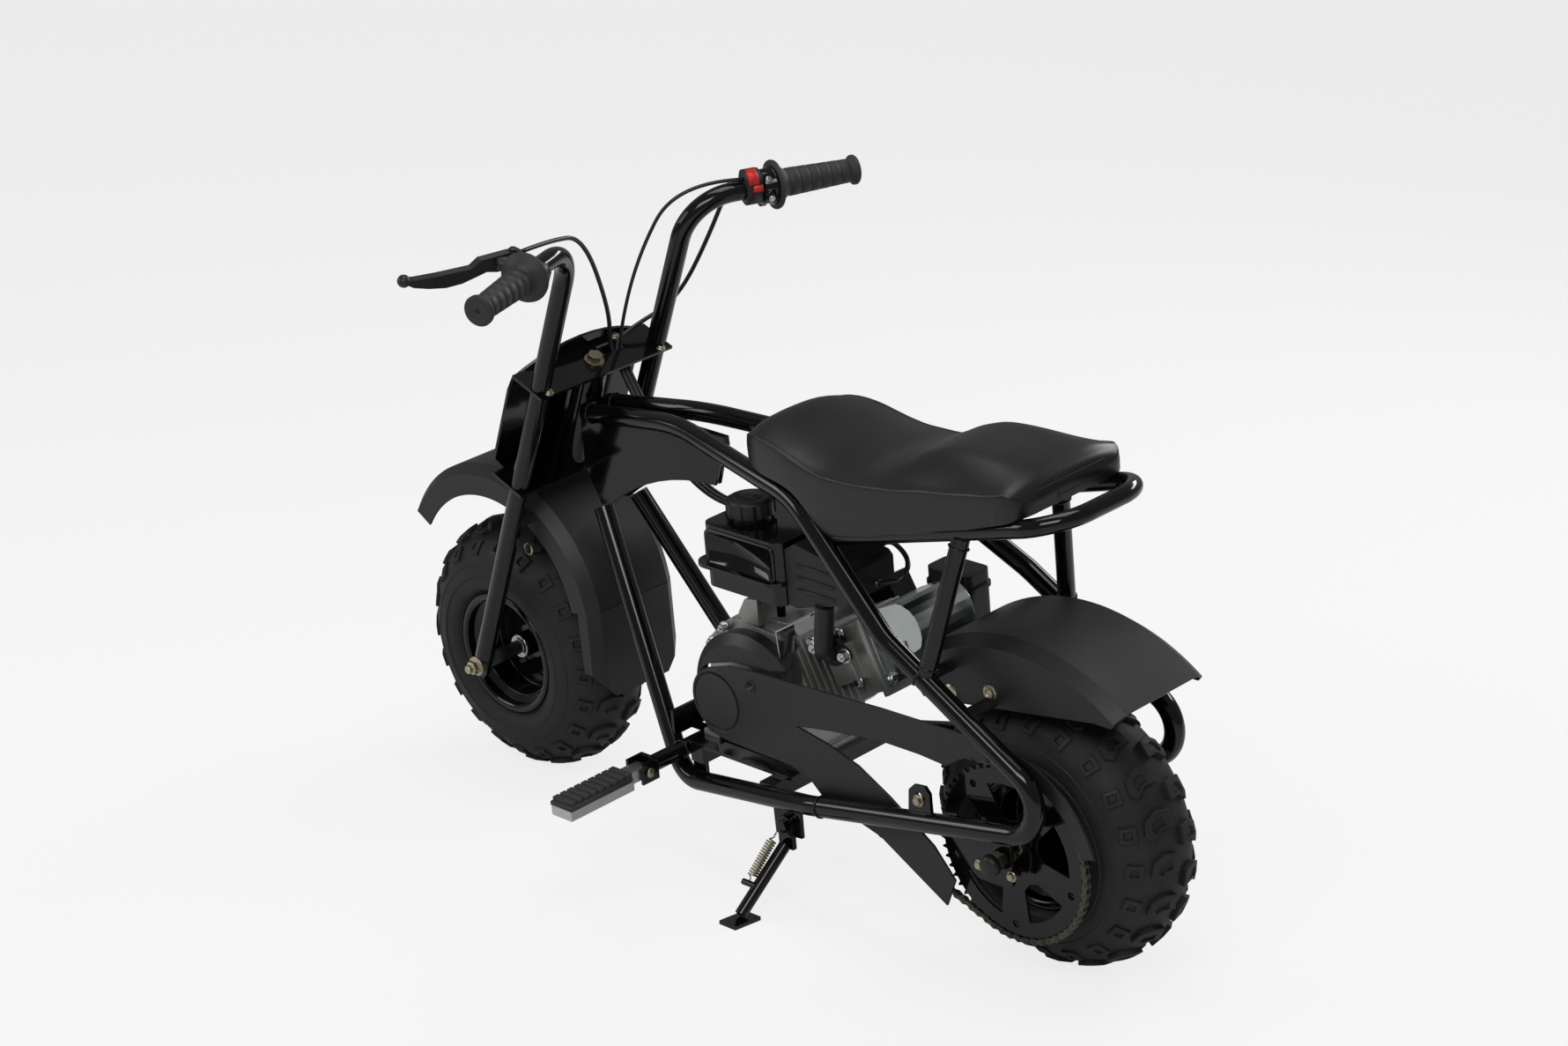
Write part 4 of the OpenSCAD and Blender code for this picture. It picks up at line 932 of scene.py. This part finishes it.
def tank_relief():
    """The tank's raised panel and the relief on its cap."""
    shape = Shape()
    outline = []
    for cx, cz, a0 in ((466, 472, 0), (366, 472, 90), (366, 440, 180), (466, 440, 270)):
        for k in range(6):
            a = math.radians(a0 + 18 * k)
            outline.append((cx + 9 * math.cos(a), cz + 9 * math.sin(a)))
    inner = [(415 + (x - 415) * 0.94, 456 + (z - 456) * 0.86) for x, z in outline]
    verts = []
    for ring, lift in ((outline, -0.4), (outline, 1.6), (inner, 1.6), (inner, 0.2)):
        verts += [(x, TANK_FACE + lift, z) for x, z in ring]
    n = len(outline)
    shape.add(verts, grid_faces(4, n) + [tuple(3 * n + i for i in range(n))])
    shape.piece("tank_panel", "gloss_black", "chassis")
    cap = Shape()
    top = aim(TANK_CAP, (0, 0, 1))
    cap.revolve([(28.4, 0), (27, 2.4), (24, 3.4), (18.4, 3.8), (17.6, 3.0), (17, 3.0), (16.4, 3.8),
                 (0.01, 4.2)], 64, top,
                ends=False)
    frame_corners = [(-7, -5), (-7, 5), (7, 5), (7, -5), (-7, -5)]
    cap.sweep([top @ Vector((x, y, 4.1)) for x, y in frame_corners], 0.8, 6)
    cap.piece("cap_top", "charcoal_plastic", "chassis")


def engine_details():
    """Spark plug and its lead, louvres of the valve cover, and ribs of the two boxes."""
    lead = Shape()
    route = [(240, 40, 442), (226, 40, 447), (206, 36, 452), (214, 10, 470), (300, -30, 470), (380, -66, 380)]
    lead.sweep(soft_path([Vector(p) for p in route]), 3.2, 12)
    lead.sweep([Vector((262, 40, 434)), Vector((240, 40, 442))], [5.6, 5.0], 16)
    lead.piece("plug_lead", "cable_black", "chassis")
    plug = Shape()
    plug.sweep([Vector((280, 40, 427)), Vector((262, 40, 434))], [3.4, 3.4], 12)
    plug.piece("spark_plug", "bright_bolt", "chassis", slot="zinc_steel")
    ribs = Shape()
    for x in (204, 218, 232, 246):
        ribs.prism([(x - 1.6, 366), (x + 1.6, 366), (x + 1.6, 400), (x - 1.6, 400)], 57.4, 60.4,
                   Matrix.Rotation(math.pi / 2, 4, "X"), bevel=0.8)
    for z in (430, 446, 462):
        ribs.prism([(268, z - 1.6), (330, z - 1.6), (330, z + 1.6), (268, z + 1.6)], -91.6, -89,
                   Matrix.Rotation(math.pi / 2, 4, "X"), bevel=0.8)
    ribs.piece("box_ribs", "charcoal_plastic", "chassis")
    louvres = Shape()
    turn = Matrix((BARREL_ACROSS, BARREL_AXIS, Vector((0, 1, 0)))).transposed().to_4x4()
    for k in range(5):
        place = Matrix.Translation(on_barrel(-10, 48.2, COVER_UP + 14 + 9 * k)) @ turn
        louvres.prism([(-12, -1.4), (12, -1.4), (12, 1.4), (-12, 1.4)], -0.8, 1.6, place, bevel=0.7)
    louvres.piece("cover_louvres", "galvanised", "chassis", smooth=False)


def room():
    """Pale floor and soft studio light."""
    floor = bpy.data.meshes.new("floor")
    floor.from_pydata([(-40, -40, 0), (40, -40, 0), (40, 40, 0), (-40, 40, 0)], [], [(0, 1, 2, 3)])
    mat, tree, shader = new_material("floor")
    shader.inputs["Base Color"].default_value = (0.8, 0.8, 0.8, 1)
    shader.inputs["Roughness"].default_value = 0.9
    light_path = tree.nodes.new("ShaderNodeLightPath")
    white = tree.nodes.new("ShaderNodeEmission")
    white.inputs["Color"].default_value = (1, 1, 1, 1)
    mix = tree.nodes.new("ShaderNodeMixShader")
    share = tree.nodes.new("ShaderNodeMath")
    share.operation = "MULTIPLY"
    share.inputs[1].default_value = 0.8
    tree.links.new(light_path.outputs["Is Camera Ray"], share.inputs[0])
    tree.links.new(share.outputs[0], mix.inputs["Fac"])
    tree.links.new(shader.outputs["BSDF"], mix.inputs[1])
    tree.links.new(white.outputs["Emission"], mix.inputs[2])
    tree.links.new(mix.outputs["Shader"], tree.nodes["Material Output"].inputs["Surface"])
    floor.materials.append(mat)
    obj = bpy.data.objects.new("floor", floor)
    bpy.context.collection.objects.link(obj)
    world = bpy.data.worlds.new("studio")
    bpy.context.scene.world = world
    world.use_nodes = True
    nodes, links = world.node_tree.nodes, world.node_tree.links
    plain = nodes["Background"]
    plain.inputs["Color"].default_value = (0.9, 0.9, 0.9, 1)
    plain.inputs["Strength"].default_value = 0.22
    seen = nodes.new("ShaderNodeBackground")
    seen.inputs["Color"].default_value = (1, 1, 1, 1)
    seen.inputs["Strength"].default_value = 1.0
    path = nodes.new("ShaderNodeLightPath")
    mix = nodes.new("ShaderNodeMixShader")
    links.new(path.outputs["Is Camera Ray"], mix.inputs["Fac"])
    links.new(plain.outputs["Background"], mix.inputs[1])
    links.new(seen.outputs["Background"], mix.inputs[2])
    links.new(mix.outputs["Shader"], nodes["World Output"].inputs["Surface"])
    lamp("key", (-1.6, 2.6, 2.6), 2.2, 1.0, 45)
    lamp("fill", (2.4, 2.2, 1.8), 1.8, 1.2, 22)
    lamp("rim", (-0.4, -3.0, 2.2), 2.6, 0.5, 40)
    lamp("top", (0.0, 0.0, 3.2), 2.4, 1.2, 28)


def lamp(name, place, width, height, power):
    """A soft box that faces the bike."""
    light = bpy.data.lights.new(name, "AREA")
    light.shape = "RECTANGLE"
    light.size = width
    light.size_y = height
    light.energy = power
    obj = bpy.data.objects.new(name, light)
    obj.location = place
    obj.rotation_euler = (Vector((0, 0, 0.4)) - Vector(place)).to_track_quat("-Z", "Y").to_euler()
    bpy.context.collection.objects.link(obj)


def camera():
    """The photograph's viewpoint: from behind on the left, looking slightly down."""
    yaw, pitch, roll = math.radians(-45.41), math.radians(-17.57), math.radians(0.07)
    data = bpy.data.cameras.new("camera")
    data.sensor_width = 36
    data.lens = 83.74
    obj = bpy.data.objects.new("camera", data)
    obj.location = REAR_HUB + Vector((-2.5784, 3.0920, 1.6415))
    ahead = Vector((math.cos(pitch) * math.cos(yaw), math.cos(pitch) * math.sin(yaw), math.sin(pitch)))
    turn = ahead.to_track_quat("-Z", "Y").to_matrix().to_4x4() @ Matrix.Rotation(roll, 4, "Z")
    obj.rotation_euler = turn.to_euler()
    bpy.context.collection.objects.link(obj)
    bpy.context.scene.camera = obj


camera()
room()
dress_nodes()
tyre("tyre_front", WHEELBASE, "front_wheel", "front_tyre", 1)
tyre("tyre_rear", 0, "rear_wheel", "rear_tyre", 1)
seat()
cables()
chain()
sprocket_teeth()
fasteners()
fork_fittings()
for place, wheel in ((WHEELBASE, "front_wheel"), (0, "rear_wheel")):
    hub_rings(place, wheel, wheel + "_seals")
    rim_rings(place, wheel, wheel + "_lips")
welds()
grips()
controls()
peg_rubbers()
stand_spring()
guard_relief()
tank_relief()
engine_details()
bpy.context.scene.view_settings.view_transform = "Standard"
